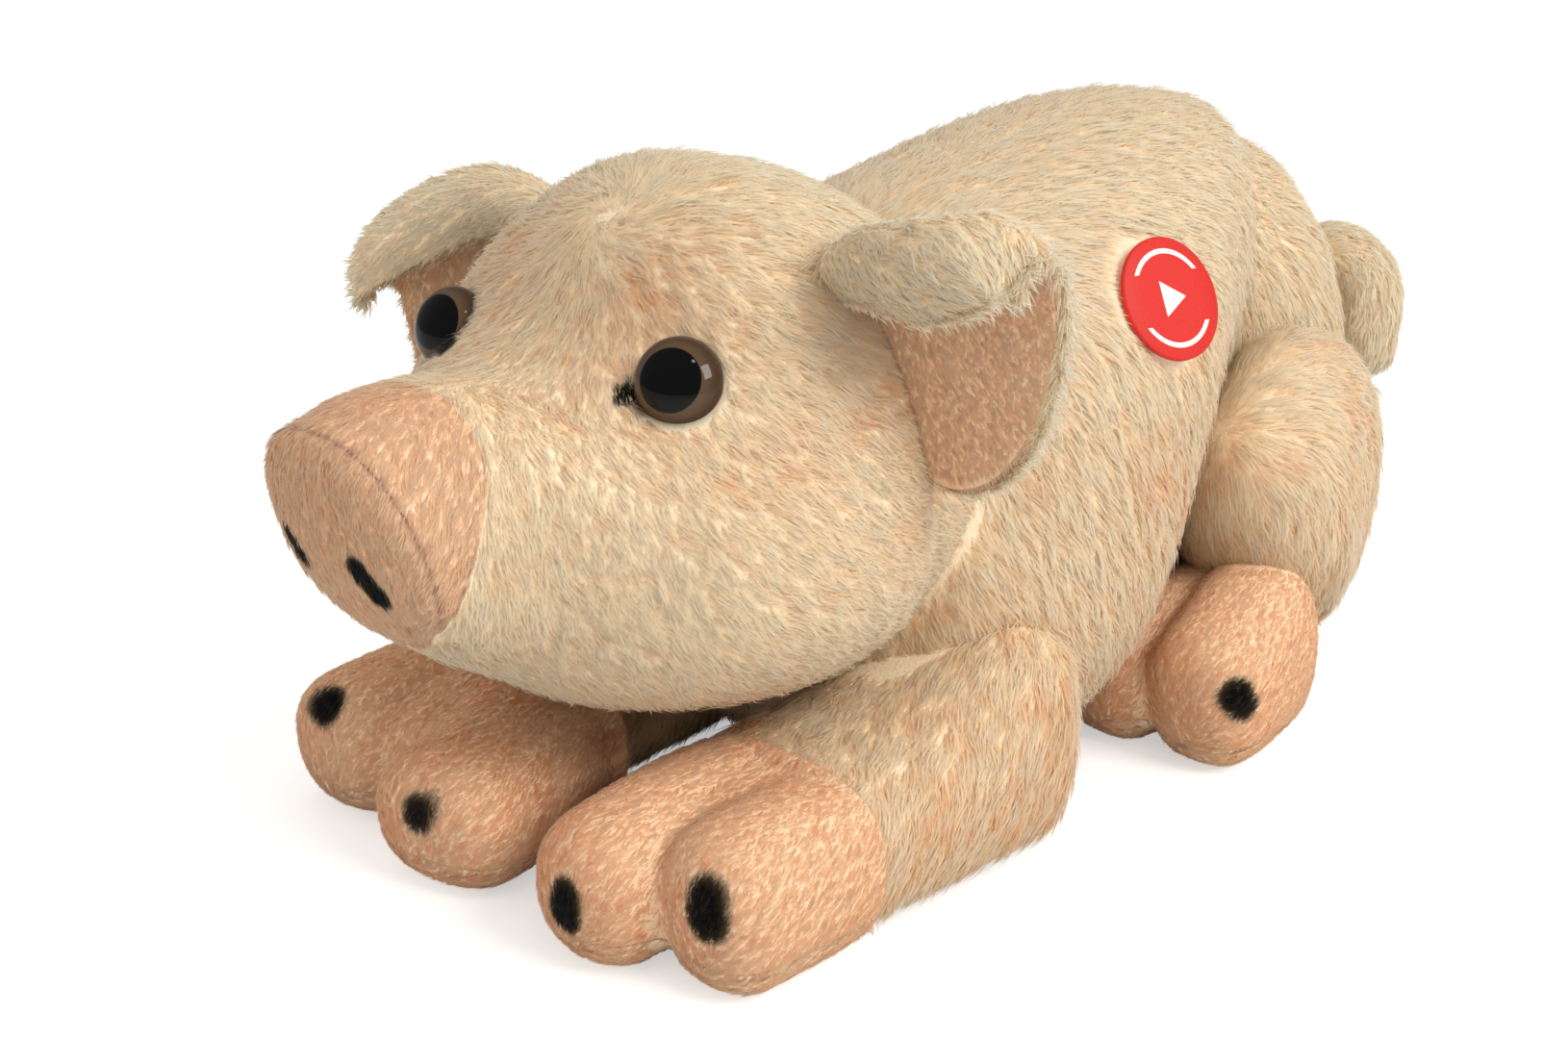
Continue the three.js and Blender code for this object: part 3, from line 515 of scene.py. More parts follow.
torso_rings = sliced_rings(torso_stations, torso_fullness, torso_caps, -long_pile_depth, 110, 140)
torso_rings[..., 2] = np.maximum(torso_rings[..., 2], table_clearance)
torso_plush = put_mesh("torso_plush", *closed_tube(torso_rings), cream_cloth)
face_outwards(torso_plush)
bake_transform(torso_plush)
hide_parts("torso_skin", "torso_stuffing")

# Head: sewn in plush over a firm filling and set on the neck, where its nape turns in a hollow of the torso.
# Its slices go from the snout to the nape, with the torso's columns, and behind the neck joint it is a ball.

head_stations = [
    [-141.5, 20, 84, 67.5, 53.5, -0.28],
    [-134, 21, 86.5, 66.5, 48.5, -0.28],
    [-127, 22.5, 89, 66, 44, -0.22],
    [-118, 26.5, 89.5, 66, 39.5, -0.15],
    [-108, 36, 88.5, 64, 35, -0.05],
    [-98, 45.5, 95, 62, 32.5, 0],
    [-86, 50, 110.5, 62, 30.5, 0],
    [-74, 50, 118.5, 62, 29, 0],
    [-62, 49, 118.5, 64, 29, 0],
    [-50, 46.5, 115, 66, 31, 0],
    [-36, 44, 106, 68, 38, 0],
    [-22, 32, 95, 70, 50, 0],
    [-12, 20, 86, 72, 60, 0],
]
head_fullness = 2.3
head_caps = (7, 8)
neck_pivot = np.array([0.0, -60.0, 72.0])
neck_ball = np.array([47.0, 48.0, 48.0])
head_pile_depth = 1.3
whorl = np.array([0.0, -84.0, 108.0])
eye_place = np.array([29.0, -96.7, 89.6])
pile_from_eye = 6.9


def head_rings(grow, slices, sides):
    """The head's slices, drawn in behind the neck joint to a ball about it."""
    rings = sliced_rings(head_stations, head_fullness, head_caps, grow, slices, sides)
    spoke = rings - neck_pivot
    reach = np.linalg.norm(spoke / (neck_ball + grow), axis=-1, keepdims=True)
    return np.where((spoke[..., 1:2] > 0) & (reach > 1), neck_pivot + spoke / reach, rings)


seam_height = 66.0
seam_lean = 0.3


def disc_seam(z):
    """How far forward the seam of the snout disc lies at a height."""
    return -134.5 - seam_lean * (z - seam_height)


def face_seam(z):
    """How far forward the seam between snout band and face lies at a height. It meets the disc seam low down."""
    return np.maximum(disc_seam(z), -128.5 + seam_lean * (z - seam_height))


def cut_closed(piece, name, cuts, finish):
    """A copy of a piece, cut by planes and closed again over each cut. A cut keeps what its normal points to."""
    shell = bmesh.new()
    shell.from_mesh(piece.data)
    for point, normal in cuts:
        geometry = shell.verts[:] + shell.edges[:] + shell.faces[:]
        bmesh.ops.bisect_plane(shell, geom=geometry, plane_co=in_metres(point), plane_no=normal, clear_inner=True)
        rim = [edge for edge in shell.edges if edge.is_boundary]
        bmesh.ops.holes_fill(shell, edges=rim)
    bmesh.ops.recalc_face_normals(shell, faces=shell.faces)
    mesh = bpy.data.meshes.new(name)
    shell.to_mesh(mesh)
    shell.free()
    mesh.materials.append(finish)
    mesh.shade_smooth()
    return put_object(name, mesh)


pink_cloth = cloth_finish("pink_cloth", colour(0.965, 0.79, 0.63), colour(0.97, 0.86, 0.73))
pink_pile = pile_finish(
    "pink_pile",
    colour(0.965, 0.83, 0.69), colour(0.965, 0.868, 0.755), colour(0.968, 0.9, 0.8), colour(0.965, 0.79, 0.635),
)

grid = head_rings(-head_pile_depth, 150, 150)
whole_head = put_mesh("whole_head", *closed_tube(grid))
face_outwards(whole_head)
seam_gap = 0.15
seam_planes = {
    "disc": ((0, disc_seam(seam_height), seam_height), (0, 0.95783, 0.28735)),
    "face": ((0, face_seam(seam_height), seam_height), (0, 0.95783, -0.28735)),
}


def one_side(seam, side):
    """A seam's plane, moved half the seam's gap to one side, and the way to that side: 1 is back, -1 is front."""
    point, normal = seam_planes[seam]
    return [p + side * seam_gap * c for p, c in zip(point, normal)], [side * c for c in normal]


head_parts = {}
for name, cuts, finish, slot_name, replaced in [
    ("head_plush", [("face", 1), ("disc", 1)], cream_cloth, "cream_plush", ("head_skin", "head_stuffing")),
    ("snout_band_plush", [("disc", 1), ("face", -1)], pink_cloth, "pink_velour", ("snout_band",)),
    ("snout_disc_plush", [("disc", -1)], pink_cloth, "pink_velour", ("snout_disc",)),
]:
    piece = cut_closed(whole_head, name, [one_side(*cut) for cut in cuts], finish)
    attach(piece, "head")
    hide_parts(*replaced)
    head_parts[name] = piece
head_surface = surface_of(whole_head)
bpy.data.objects.remove(whole_head)


def head_comb(p):
    """Combed out from the whorl on the crown, and elsewhere down the face and back over the cheeks."""
    x, y, z = p.T
    spoke = p - whorl
    far = np.linalg.norm(spoke, axis=1)[:, None]
    near = np.exp(-((far / 40) ** 2))
    spoke = spoke + 1.3 * np.exp(-((far / 9) ** 2)) * np.cross((0, -0.5, 0.86), spoke)
    spoke = spoke + 3.0 * np.exp(-((far / 6) ** 2)) * np.sin(p[:, [1, 2, 0]] * 2.1)
    back = np.interp(y, [-124, -112, -96, -70], [0.2, 0.8, 1.6, 2.2])
    chin = np.clip((46 - z) / 12, 0, 1)
    flow = np.stack([0.2 * beside(x), back * (1 - chin) - 0.5 * chin, np.full(len(p), -1.0)], axis=1)
    return near * unit(spoke) * 1.5 + (1 - near) * unit(flow)


def snout_comb(p):
    """Combed forward over the top of the snout and down its sides and front."""
    x, y, z = p.T
    return np.stack([0.2 * beside(x), np.full(len(p), -0.5), np.full(len(p), -1.0)], axis=1)


spot_fade = 1.6


def near_segment(p, start, end):
    """The distance of points from a straight stroke between two points."""
    start, end = np.array(start, float), np.array(end, float)
    span = end - start
    share = np.clip(((p - start) @ span) / max(span @ span, 1e-9), 0, 1)
    return np.linalg.norm(p - start - share[:, None] * span, axis=1)


def airbrush_and_shade_strokes(strokes):
    """How dark points are: full at a stroke, and fading out over its softness. Strokes are start, end, reach.
    They are airbrush paint, and round the eyes painted shade.
    """
    def dark(p):
        share = np.zeros(len(p))
        for start, end, reach in strokes:
            share = np.maximum(share, np.clip(spot_fade - near_segment(p, start, end) / reach, 0, 1))
        return share
    return dark


def eye_corners_and_shade(side):
    """The dark strokes of airbrush paint at the two corners of an eye, and painted shade in a ring round it."""
    return [
        ((side * 24.4, -100.4, 88.5), (side * 22.8, -102.0, 88.1), 1.55),
        ((side * 34.4, -91.0, 87.2), (side * 36.6, -89.5, 86.2), 1.7),
        # Painted shade: a soft dark dot at the eye's middle, of which only the brown edge shows on the pile round the
        # eye.
        ((side * 29, -97.0, 89.3), (side * 29, -97.0, 89.3), 5.25),
    ]


def head_blush(p):
    """The face is peachy over the brows and by the ears, and creamier on the crown, the jaw and the snout ridge."""
    x, y, z = np.abs(p[:, 0]), p[:, 1], p[:, 2]
    brow = np.exp(-(((x - 18) / 14) ** 2 + ((y + 92) / 16) ** 2 + ((z - 100) / 12) ** 2))
    ear = np.exp(-(((x - 44) / 12) ** 2 + ((y + 66) / 14) ** 2 + ((z - 88) / 18) ** 2))
    cheek = 0.4 * np.clip((z - 42) / 25, 0, 1) * np.clip((112 - z) / 14, 0, 1)
    return np.clip(cheek + 0.5 * brow + 0.6 * ear, 0, 1)


head_marks = {"dark": airbrush_and_shade_strokes(eye_corners_and_shade(1) + eye_corners_and_shade(-1)), "blush_and_shade": head_blush}


def snout_crease(p):
    """A thin stitched line in the seam round the disc, and a fainter one low in the seam to the face."""
    x, y, z = p.T
    stitches = 0.55 + 0.3 * np.sin(2.2 * np.hypot(x, z - 66) * np.arctan2(z - 66, x))
    disc = np.clip(1.2 - np.abs(y - disc_seam(z)) / 0.6, 0, 1) * stitches
    face = np.clip(1.2 - np.abs(y - face_seam(z)) / 0.6, 0, 1) * np.clip((74 - z) / 14, 0, 0.6)
    return np.maximum(disc, face) * np.clip((z - 48) / 8, 0, 1)


nostrils = [
    ((8.0, -139.8, 65.2), (10.0, -138.0, 61.4), 1.9),
    ((-10.8, -139.4, 66.2), (-8.6, -139.3, 63.2), 1.7),
]


def head_length(p):
    """The pile's length on the head: short beside the snout, longest on the crown and under the chin."""
    x, y, z = p.T
    length = np.interp(y, [-124, -110, -90, -60], [4.2, 3.6, 4.6, 5.4])
    at_whorl = np.exp(-((np.linalg.norm(p - whorl, axis=1) / 18) ** 2))
    return length + 1.5 * np.clip((42 - z) / 10, 0, 1) + 1.2 * at_whorl


def head_zone(low, high):
    """Keep pile that starts between two seams, clear of the eyes and out of the torso."""
    def keep(p, up):
        y, z = p[:, 1], p[:, 2]
        eyes = np.abs(p) * [1, 0, 0] + p * [0, 1, 1]
        clear = np.linalg.norm(eyes - eye_place, axis=1) > pile_from_eye
        hidden = inside_slices(p, torso_stations, torso_fullness, -4.0) & (y > -50)
        return (y > low(z)) & (y < high(z)) & clear & ~hidden
    return keep


# Painted shade: the cloth round each eye is darkened in a soft ring.
painted_eye_shade = airbrush_and_shade_strokes([(eye_place * [side, 1, 1], eye_place * [side, 1, 1], 5.8) for side in (1, -1)])
mark_cloth(head_parts["head_plush"], {"dark": painted_eye_shade, "blush_and_shade": head_blush})
snout_marks = {"dark": airbrush_and_shade_strokes(nostrils), "crease": snout_crease}
for name in ("snout_band_plush", "snout_disc_plush"):
    mark_cloth(head_parts[name], snout_marks)
head_nap = dict(long_nap, density=4.4, tuft=1.8, width=0.27, length=head_length)
snout_nap = dict(head_nap, density=7.0, tuft=1.5, width=0.24, length=2.8, gather=0.15, lift=0.15)

for name, side in [("left", 1), ("right", -1)]:
    zone = head_zone(face_seam, lambda z: np.full(len(z), far_off))
    half = lambda p, up, zone=zone, side=side: zone(p, up) & (p[:, 0] * side > 0)
    hair = grow_pile(f"head_pile_{name}", head_surface, cream_pile, head_comb, head_nap, half, 20 + side, head_marks)
    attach(hair, "head")
in_front = lambda z: np.full(len(z), -far_off)
for name, zone, seed in [
    ("snout_band_pile", head_zone(disc_seam, face_seam), 31), ("snout_disc_pile", head_zone(in_front, disc_seam), 32),
]:
    hair = grow_pile(name, head_surface, pink_pile, snout_comb, snout_nap, zone, seed, snout_marks)
    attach(hair, "head")

# Eyes: glossy plastic domes with a black pupil and a brown iris under a clear front, on a post through the cloth
# that a washer locks behind it.

eye_radius = 7.0
eye_height = 4.6
eye_seat = 0.5
eye_rim = 0.3
post_radius = 1.7
post_end = -9.8


def turned_piece(name, profile, place, facing, finish, sides=64):
    """A profile of radius and height turned about an axis that starts at a place, closed at both ends."""
    across = unit(np.cross((0, 0, 1), facing))
    over = np.cross(facing, across)
    angle = np.linspace(0, 2 * np.pi, sides, endpoint=False)[None, :, None]
    radius, height = np.array(profile, float).T[:, :, None, None]
    rings = place + radius * (np.cos(angle) * across + np.sin(angle) * over) + height * facing
    made = put_mesh(name, *closed_tube(rings), finish)
    face_outwards(made)
    return made


eye_finish, n = material("eye")
ring = n.attribute("out")
iris = n.mix(n.steps(ring, 0.72, 1.0), colour(0.36, 0.28, 0.2), colour(0.25, 0.18, 0.13))
base = n.mix(n.steps(ring, 0.675, 0.7), colour(0.008, 0.01, 0.012), iris)
shader = n.add("ShaderNodeBsdfPrincipled", Base_Color=base, Roughness=0.04, IOR=1.36)
n.surface(shader)

arc = np.linspace(0.002, np.pi / 2, 28)
dome = [(eye_radius * np.sin(a), eye_height * np.cos(a) - eye_seat) for a in arc]
dome += [(eye_radius - eye_rim, -eye_seat - 0.5), (post_radius, -eye_seat - 0.5), (post_radius, post_end),
         (0.01, post_end)]
eye_turns = {"left": (0.42, -0.85, 0.34), "right": (0.16, -0.9, 0.38)}
for name, side in [("left", 1), ("right", -1)]:
    place = eye_place * [side, 1, 1]
    facing = unit(np.array(eye_turns[name]))
    eye = turned_piece(f"{name}_eye_dome", dome, place, facing, eye_finish)
    points = surface_of(eye)[0] - place
    flat = points - (points @ facing)[:, None] * facing
    keep_values(eye.data, {"out": np.linalg.norm(flat, axis=1) / eye_radius})
    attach(eye, "head")
    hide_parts(f"{name}_eye")

# Ears: a leaf of long-pile cloth with a short-pile lining, sewn to the head along its root. The top is folded
# forward over the lining in a soft roll that gets wider outwards. Its rows go from root to edge: distance out,
# height of the lower edge, height at which the fold starts, and radius and turn of the fold.

ear_places = {
    "left": {"root": (47, -61, 75), "sweep": (0, 4, 2), "hang": 0},
    "right": {"root": (45, -59, 75), "sweep": (0, -14, -16), "hang": 9},
}
ear_lean = -0.2
ear_stations = [
    [-11, 6, 28.5, 3, 230],
    [-4, 0, 30.5, 4.2, 230],
    [4, -4, 31, 5.6, 230],
    [12, -2, 31, 6.8, 225],
    [18.5, 5, 31, 7, 215],
    [22, 14, 30, 6.3, 200],
    [24, 21, 28, 4, 180],
]
ear_cloth = 1.4
ear_lining = 0.8
ear_bend = ((38, -61, 88), (54, -61, 94))


def ear_face(side, offset, rows=44, flat_steps=14, fold_steps=34):
    """One face of an ear, a constant distance behind the surface of its fold: straight up from the lower edge,
    then round an arc to the front, leaning forward with its height and swept back towards the outer edge."""
    shares = np.linspace(0, 1, rows)
    out, lower, fold_line, radius, turned = read_stations(ear_stations, shares).T[:, :, None]
    climb = np.linspace(0, 1, flat_steps, endpoint=False)[None]
    lower = lower - ear_places[side]["hang"]
    flat_up = lower + (fold_line - lower) * climb
    flat_back = np.full_like(flat_up, offset)
    angle = np.radians(turned) * np.linspace(0, 1, fold_steps)[None]
    fold_up = fold_line + (radius + offset) * np.sin(angle)
    fold_back = (radius + offset) * np.cos(angle) - radius
    up = np.concatenate([flat_up, fold_up], axis=1)
    back = np.concatenate([flat_back, fold_back], axis=1) + ear_lean * up
    swept = np.maximum(out / ear_stations[-1][0], 0)[..., None] ** 2 * np.array(ear_places[side]["sweep"])
    leaf = np.stack([np.broadcast_to(out, up.shape), back, up], axis=-1)
    leaf = leaf + swept + np.array(ear_places[side]["root"])
    return leaf if side == "left" else leaf * [-1, 1, 1]


def sheet_faces(rows, columns):
    """Faces of a sheet with two sides of the same rows and columns, joined round their edges."""
    front = np.arange(rows * columns).reshape(rows, columns)
    back = front + rows * columns
    sides = [np.stack([g[:-1, :-1], g[:-1, 1:], g[1:, 1:], g[1:, :-1]], axis=-1) for g in (front, back)]
    quads = [quad.reshape(-1, 4) for quad in sides]
    quads[1] = quads[1][:, ::-1]
    rim = np.concatenate([front[0], front[1:, -1], front[-1, -2::-1], front[-2:0:-1, 0]])
    behind = rim + rows * columns
    edge = np.stack([rim, behind, np.roll(behind, -1), np.roll(rim, -1)], axis=-1)
    return np.concatenate(quads + [edge]).tolist()


def split_surface(piece, count):
    """The surface of a sheet's first side, and that of its rim, from the number of points on a side."""
    points, triangles, normals = surface_of(piece)
    first = (triangles < count).all(axis=1)
    second = (triangles >= count).all(axis=1)
    return (points, triangles[first], normals), (points, triangles[~first & ~second], normals)


def ear_comb(side):
    """Combed outwards along the roll and a little down."""
    return lambda p: np.tile([side * 1.0, -0.15, -0.45], (len(p), 1))


ear_nap = dict(long_nap, density=6.0, tuft=1.8, width=0.3, length=3.8)
rim_nap = dict(long_nap, density=12.0, tuft=1.8, width=0.3, length=4.6, lift=0.5)
lining_nap = dict(snout_nap, length=2.2)

for name, side in [("left", 1), ("right", -1)]:
    ear_parts = {}
    for layer, outer, inner, finish in [
        ("ear_plush", ear_cloth, 0.2, cream_cloth), ("ear_lining_plush", -0.3, -0.3 - ear_lining, pink_cloth),
    ]:
        faces = [ear_face(name, outer), ear_face(name, inner)]
        count = faces[0].shape[0] * faces[0].shape[1]
        points = np.concatenate([f.reshape(-1, 3) for f in faces])
        sheet = put_mesh(f"{name}_{layer}", points, sheet_faces(*faces[0].shape[:2]), finish)
        face_outwards(sheet)
        if layer == "ear_plush":
            back, rim = split_surface(sheet, count)
        else:
            points, triangles, normals = surface_of(sheet)
            front = (points, triangles[(triangles >= count).all(axis=1)], normals)
        ear_parts[layer] = sheet
    clear = lambda p, up: ~inside_slices(p, head_stations, head_fullness, -3.0)
    comb = ear_comb(side)
    down = lambda p, side=side: np.tile([side * 0.3, 0.0, -1.0], (len(p), 1))
    ear_parts["pile"] = grow_pile(f"{name}_ear_pile", back, cream_pile, comb, ear_nap, clear, 40 + side)
    ear_parts["rim"] = grow_pile(f"{name}_ear_rim_pile", rim, cream_pile, comb, rim_nap, clear, 44 + side)
    ear_parts["lining"] = grow_pile(f"{name}_ear_lining_pile", front, pink_pile, down, lining_nap, clear, 48 + side)
    for key, piece in ear_parts.items():
        start, end = (in_metres(place, side) for place in ear_bend)
        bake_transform(piece)
    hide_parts(f"{name}_ear")
    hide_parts(f"{name}_ear_lining")

# Legs: stuffed sleeves of long-pile plush, each with a ball of filling that turns in the torso. The feet are sewn
# on at the wrist and ankle: an upper of short pink pile with two toes, and a flat sole of the same cream cloth.
# Paths go from the body outwards: x, y, z, half width, half height.

front_leg_stations = [
    [39, -19, 22, 18, 22],
    [38.5, -34, 21, 21, 21.5],
    [37, -52, 17, 22.5, 17.5],
    [35.5, -70, 14.5, 22.5, 15],
    [35, -88, 13.5, 22.5, 14],
]
front_leg_caps = (20, 10)
front_toes = {
    "left": [
        [[42, -72, 13.5, 15, 14], [45.5, -86, 13.5, 13.5, 14], [46.5, -98, 13.5, 12.5, 14],
         [46.5, -112.5, 12.5, 12, 13]],
        [[29, -74, 13.5, 15, 14], [27, -88, 13.5, 13.5, 14], [27, -102, 13, 12.5, 13.5], [28, -121, 11.5, 12, 12]],
    ],
    "right": [
        [[43, -72, 13.5, 15, 14], [46, -88, 13.5, 14, 14], [45.5, -101, 13, 14, 14], [45, -119, 12, 14.5, 12.5]],
        [[23, -71, 13.5, 20, 14], [20, -87, 13.5, 17, 14], [12.5, -102, 12.5, 16, 13], [7.5, -123, 11, 15.5, 11.5]],
    ],
}
# The cloth between a foot's two toes fills the cleft except at its front.
front_webs = {
    "left": [[36, -72, 13.5, 16, 14], [36, -88, 13.5, 13, 13], [36, -101, 12.5, 11, 11.5], [36, -110, 11.5, 8, 9.5]],
    "right": [[36, -72, 13.5, 16, 14], [33, -88, 13.5, 14, 13], [29, -101, 12.5, 13, 11.5],
              [26.5, -112, 11.5, 10, 9.5]],
}
sleeve_fullness = 2.8
toe_fullness = 2.4
hind_leg_stations = [
    [39, 90, 53, 15, 26],
    [41, 74, 50, 16, 30],
    [42.5, 59, 45.5, 18, 34],
    [45.5, 45, 39, 19, 31],
    [48, 34, 31, 17, 24],
]
hind_leg_caps = (24, 18)
hind_toes = [
    [[49.5, 46, 19, 12, 19], [52, 34, 18.5, 13.5, 18.5], [54, 20, 15.5, 13, 16], [54, 6, 12.5, 12, 13]],
    [[40, 46, 16, 12.5, 16.5], [37.5, 34, 15.5, 12.5, 16], [35, 20, 13, 11.5, 13.5], [33.5, 6, 11.5, 11, 12]],
]
toe_caps = (12, 9)
wrist_seam = -80
sole_height = 7
short_pile_depth = 0.7


def limb_rings(stations, caps, grow, fullness=2.0, slices=40, sides=48):
    """Ovals, or rounded boxes where the fullness power is above 2, swept along a path, upright and square to it,
    drawn in over a cap at both ends."""
    shares = 0.5 - 0.5 * np.cos(np.linspace(0, np.pi, slices + 1))
    table = read_stations(stations, shares)
    fine = read_stations(stations, np.linspace(0, 1, 200))[:, :3]
    length = np.linalg.norm(np.diff(fine, axis=0), axis=1).sum()
    ahead = read_stations(stations, np.minimum(shares + 0.01, 1))[:, :3]
    behind = read_stations(stations, np.maximum(shares - 0.01, 0))[:, :3]
    along = unit(ahead - behind)
    middle = table[:, :3] + along * grow * (2 * shares - 1)[:, None]
    aside = unit(np.cross(along, (0, 0, 1)))
    up = np.cross(aside, along)
    size = rounded_end(shares * length, caps[0]) * rounded_end((1 - shares) * length, caps[1])
    angle = np.linspace(0, 2 * np.pi, sides, endpoint=False)[None, :, None]
    across, upward = squared_off(np.cos(angle), fullness), squared_off(np.sin(angle), fullness)
    wide = ((table[:, 3] + grow) * size)[:, None, None]
    above = ((table[:, 4] + grow) * size)[:, None, None]
    under = (table[:, 4] * size)[:, None, None]
    tall = np.where(upward > 0, above, under)
    return middle[:, None] + wide * across * aside[:, None] + tall * upward * up[:, None]


def merged_form(name, forms, voxel=1.1, smooth=4):
    """Closed tubes joined into one skin: filled with small cells, skinned again and smoothed a little."""
    points, faces, start = [], [], 0
    for rings in forms:
        tube_points, tube_faces = closed_tube(rings)
        points.append(tube_points)
        faces += [[start + v for v in face] for face in tube_faces]
        start += len(tube_points)
    made = put_mesh(name, np.concatenate(points), faces)
    face_outwards(made)
    cells = made.modifiers.new("cells", "REMESH")
    cells.mode, cells.voxel_size = "VOXEL", voxel * MM
    soften = made.modifiers.new("soften", "SMOOTH")
    soften.iterations = smooth
    ready = made.evaluated_get(bpy.context.evaluated_depsgraph_get())
    mesh = bpy.data.meshes.new_from_object(ready)
    made.modifiers.clear()
    made.data = mesh
    mesh.shade_smooth()
    return made


def inside_limb(p, stations, caps, grow):
    """Which points lie in a limb: the nearest place on its path gives an oval, and the point's offsets across it
    and up it, over the oval's half sizes, have squares that add up to less than one."""
    shares = np.linspace(0, 1, 60)
    table = read_stations(stations, shares)
    middle = table[:, :3]
    along = unit(np.gradient(middle, axis=0))
    length = np.linalg.norm(np.diff(middle, axis=0), axis=1).sum()
    aside = unit(np.cross(along, (0, 0, 1)))
    over = np.cross(aside, along)
    size = rounded_end(shares * length, caps[0]) * rounded_end((1 - shares) * length, caps[1])
    nearest = np.argmin(((p[:, None] - middle[None]) ** 2).sum(2), axis=1)
    spoke = p - middle[nearest]
    wide = (table[:, 3] * size)[nearest] + grow
    tall = (table[:, 4] * size)[nearest] + grow
    across = (spoke * aside[nearest]).sum(1) / wide
    upward = (spoke * over[nearest]).sum(1) / tall
    beyond = np.abs((spoke * along[nearest]).sum(1)) > 2 + np.maximum(grow, 0)
    return (across**2 + upward**2 < 1) & ~beyond & (wide > 0) & (tall > 0)


def mirrored(stations, side):
    """Stations of a limb on one side of the body."""
    return np.array(stations, float) * [side, 1, 1, 1, 1]


leg_nap = dict(long_nap, length=6.0)
foot_nap = dict(snout_nap, density=6.0, length=2.4, width=0.22, lift=0.12)
limbs = {}
over_table = ((0, 0, table_clearance), (0, 0, 1))
pile_above_table = {"leg": 0.9, "foot": 1.2, "torso": 3.0}
spots = {
    "front_left": [((28.6, -118.6, 14.1), (28.2, -119.5, 11.1), 2.7),
                   ((49.9, -109.3, 18.4), (50.3, -110.5, 15.8), 3.1)],
    "front_right": [((-44, -115.2, 20.6), (-48, -113.6, 19), 3.0), ((-8.1, -120.1, 15), (-4.2, -115.3, 17), 3.0)],
    "hind_left": [((63, 10.5, 18.5), (63, 12, 16.5), 2.9), ((33, -4, 14), (33, -4.5, 12), 3.4)],
    "hind_right": [((-63, 10.5, 18.5), (-63, 12, 16.5), 2.9), ((-33, -4, 14), (-33, -4.5, 12), 3.4)],
}


def leg_blush_and_shade(p):
    """As peachy as the body beside it, with painted shade on the inside, between the legs: a deeper peach where
    the legs and the belly shade each other.
    """
    between = np.clip((34 - np.abs(p[:, 0])) / 18, 0, 1) * np.clip((62 - p[:, 2]) / 25, 0, 1)
    return np.clip(torso_blush(p) + 0.9 * between, 0, 1.4)


def front_leg_comb(p):
    """Combed down the sleeve and forward to the foot."""
    x, y, z = p.T
    return np.stack([0.25 * np.sign(x), np.full(len(p), -0.55), np.full(len(p), -0.8)], axis=1)


def hind_leg_comb(p):
    """Combed back over the top of the thigh and down its side."""
    x, y, z = p.T
    top = np.clip((z - 48) / 26, 0, 1)
    return np.stack([0.3 * np.sign(x), 0.2 + 0.9 * top, -1.0 * (1 - top)], axis=1)


def sole_crease(p):
    """A thin brown line where the sole is sewn on, wavering a little in height."""
    x, y, z = p.T
    level = sole_height - 1.0 + 0.5 * np.sin(x * 0.7) + 0.4 * np.sin(y * 0.5 + 1)
    return np.clip(1.2 - np.abs(z - level) / 0.45, 0, 1) * (0.4 + 0.3 * np.sin(0.35 * (x + y)))


def foot_comb(p):
    """Combed forward over the toes and down their fronts."""
    return np.tile([0.0, -1.0, -0.6], (len(p), 1))


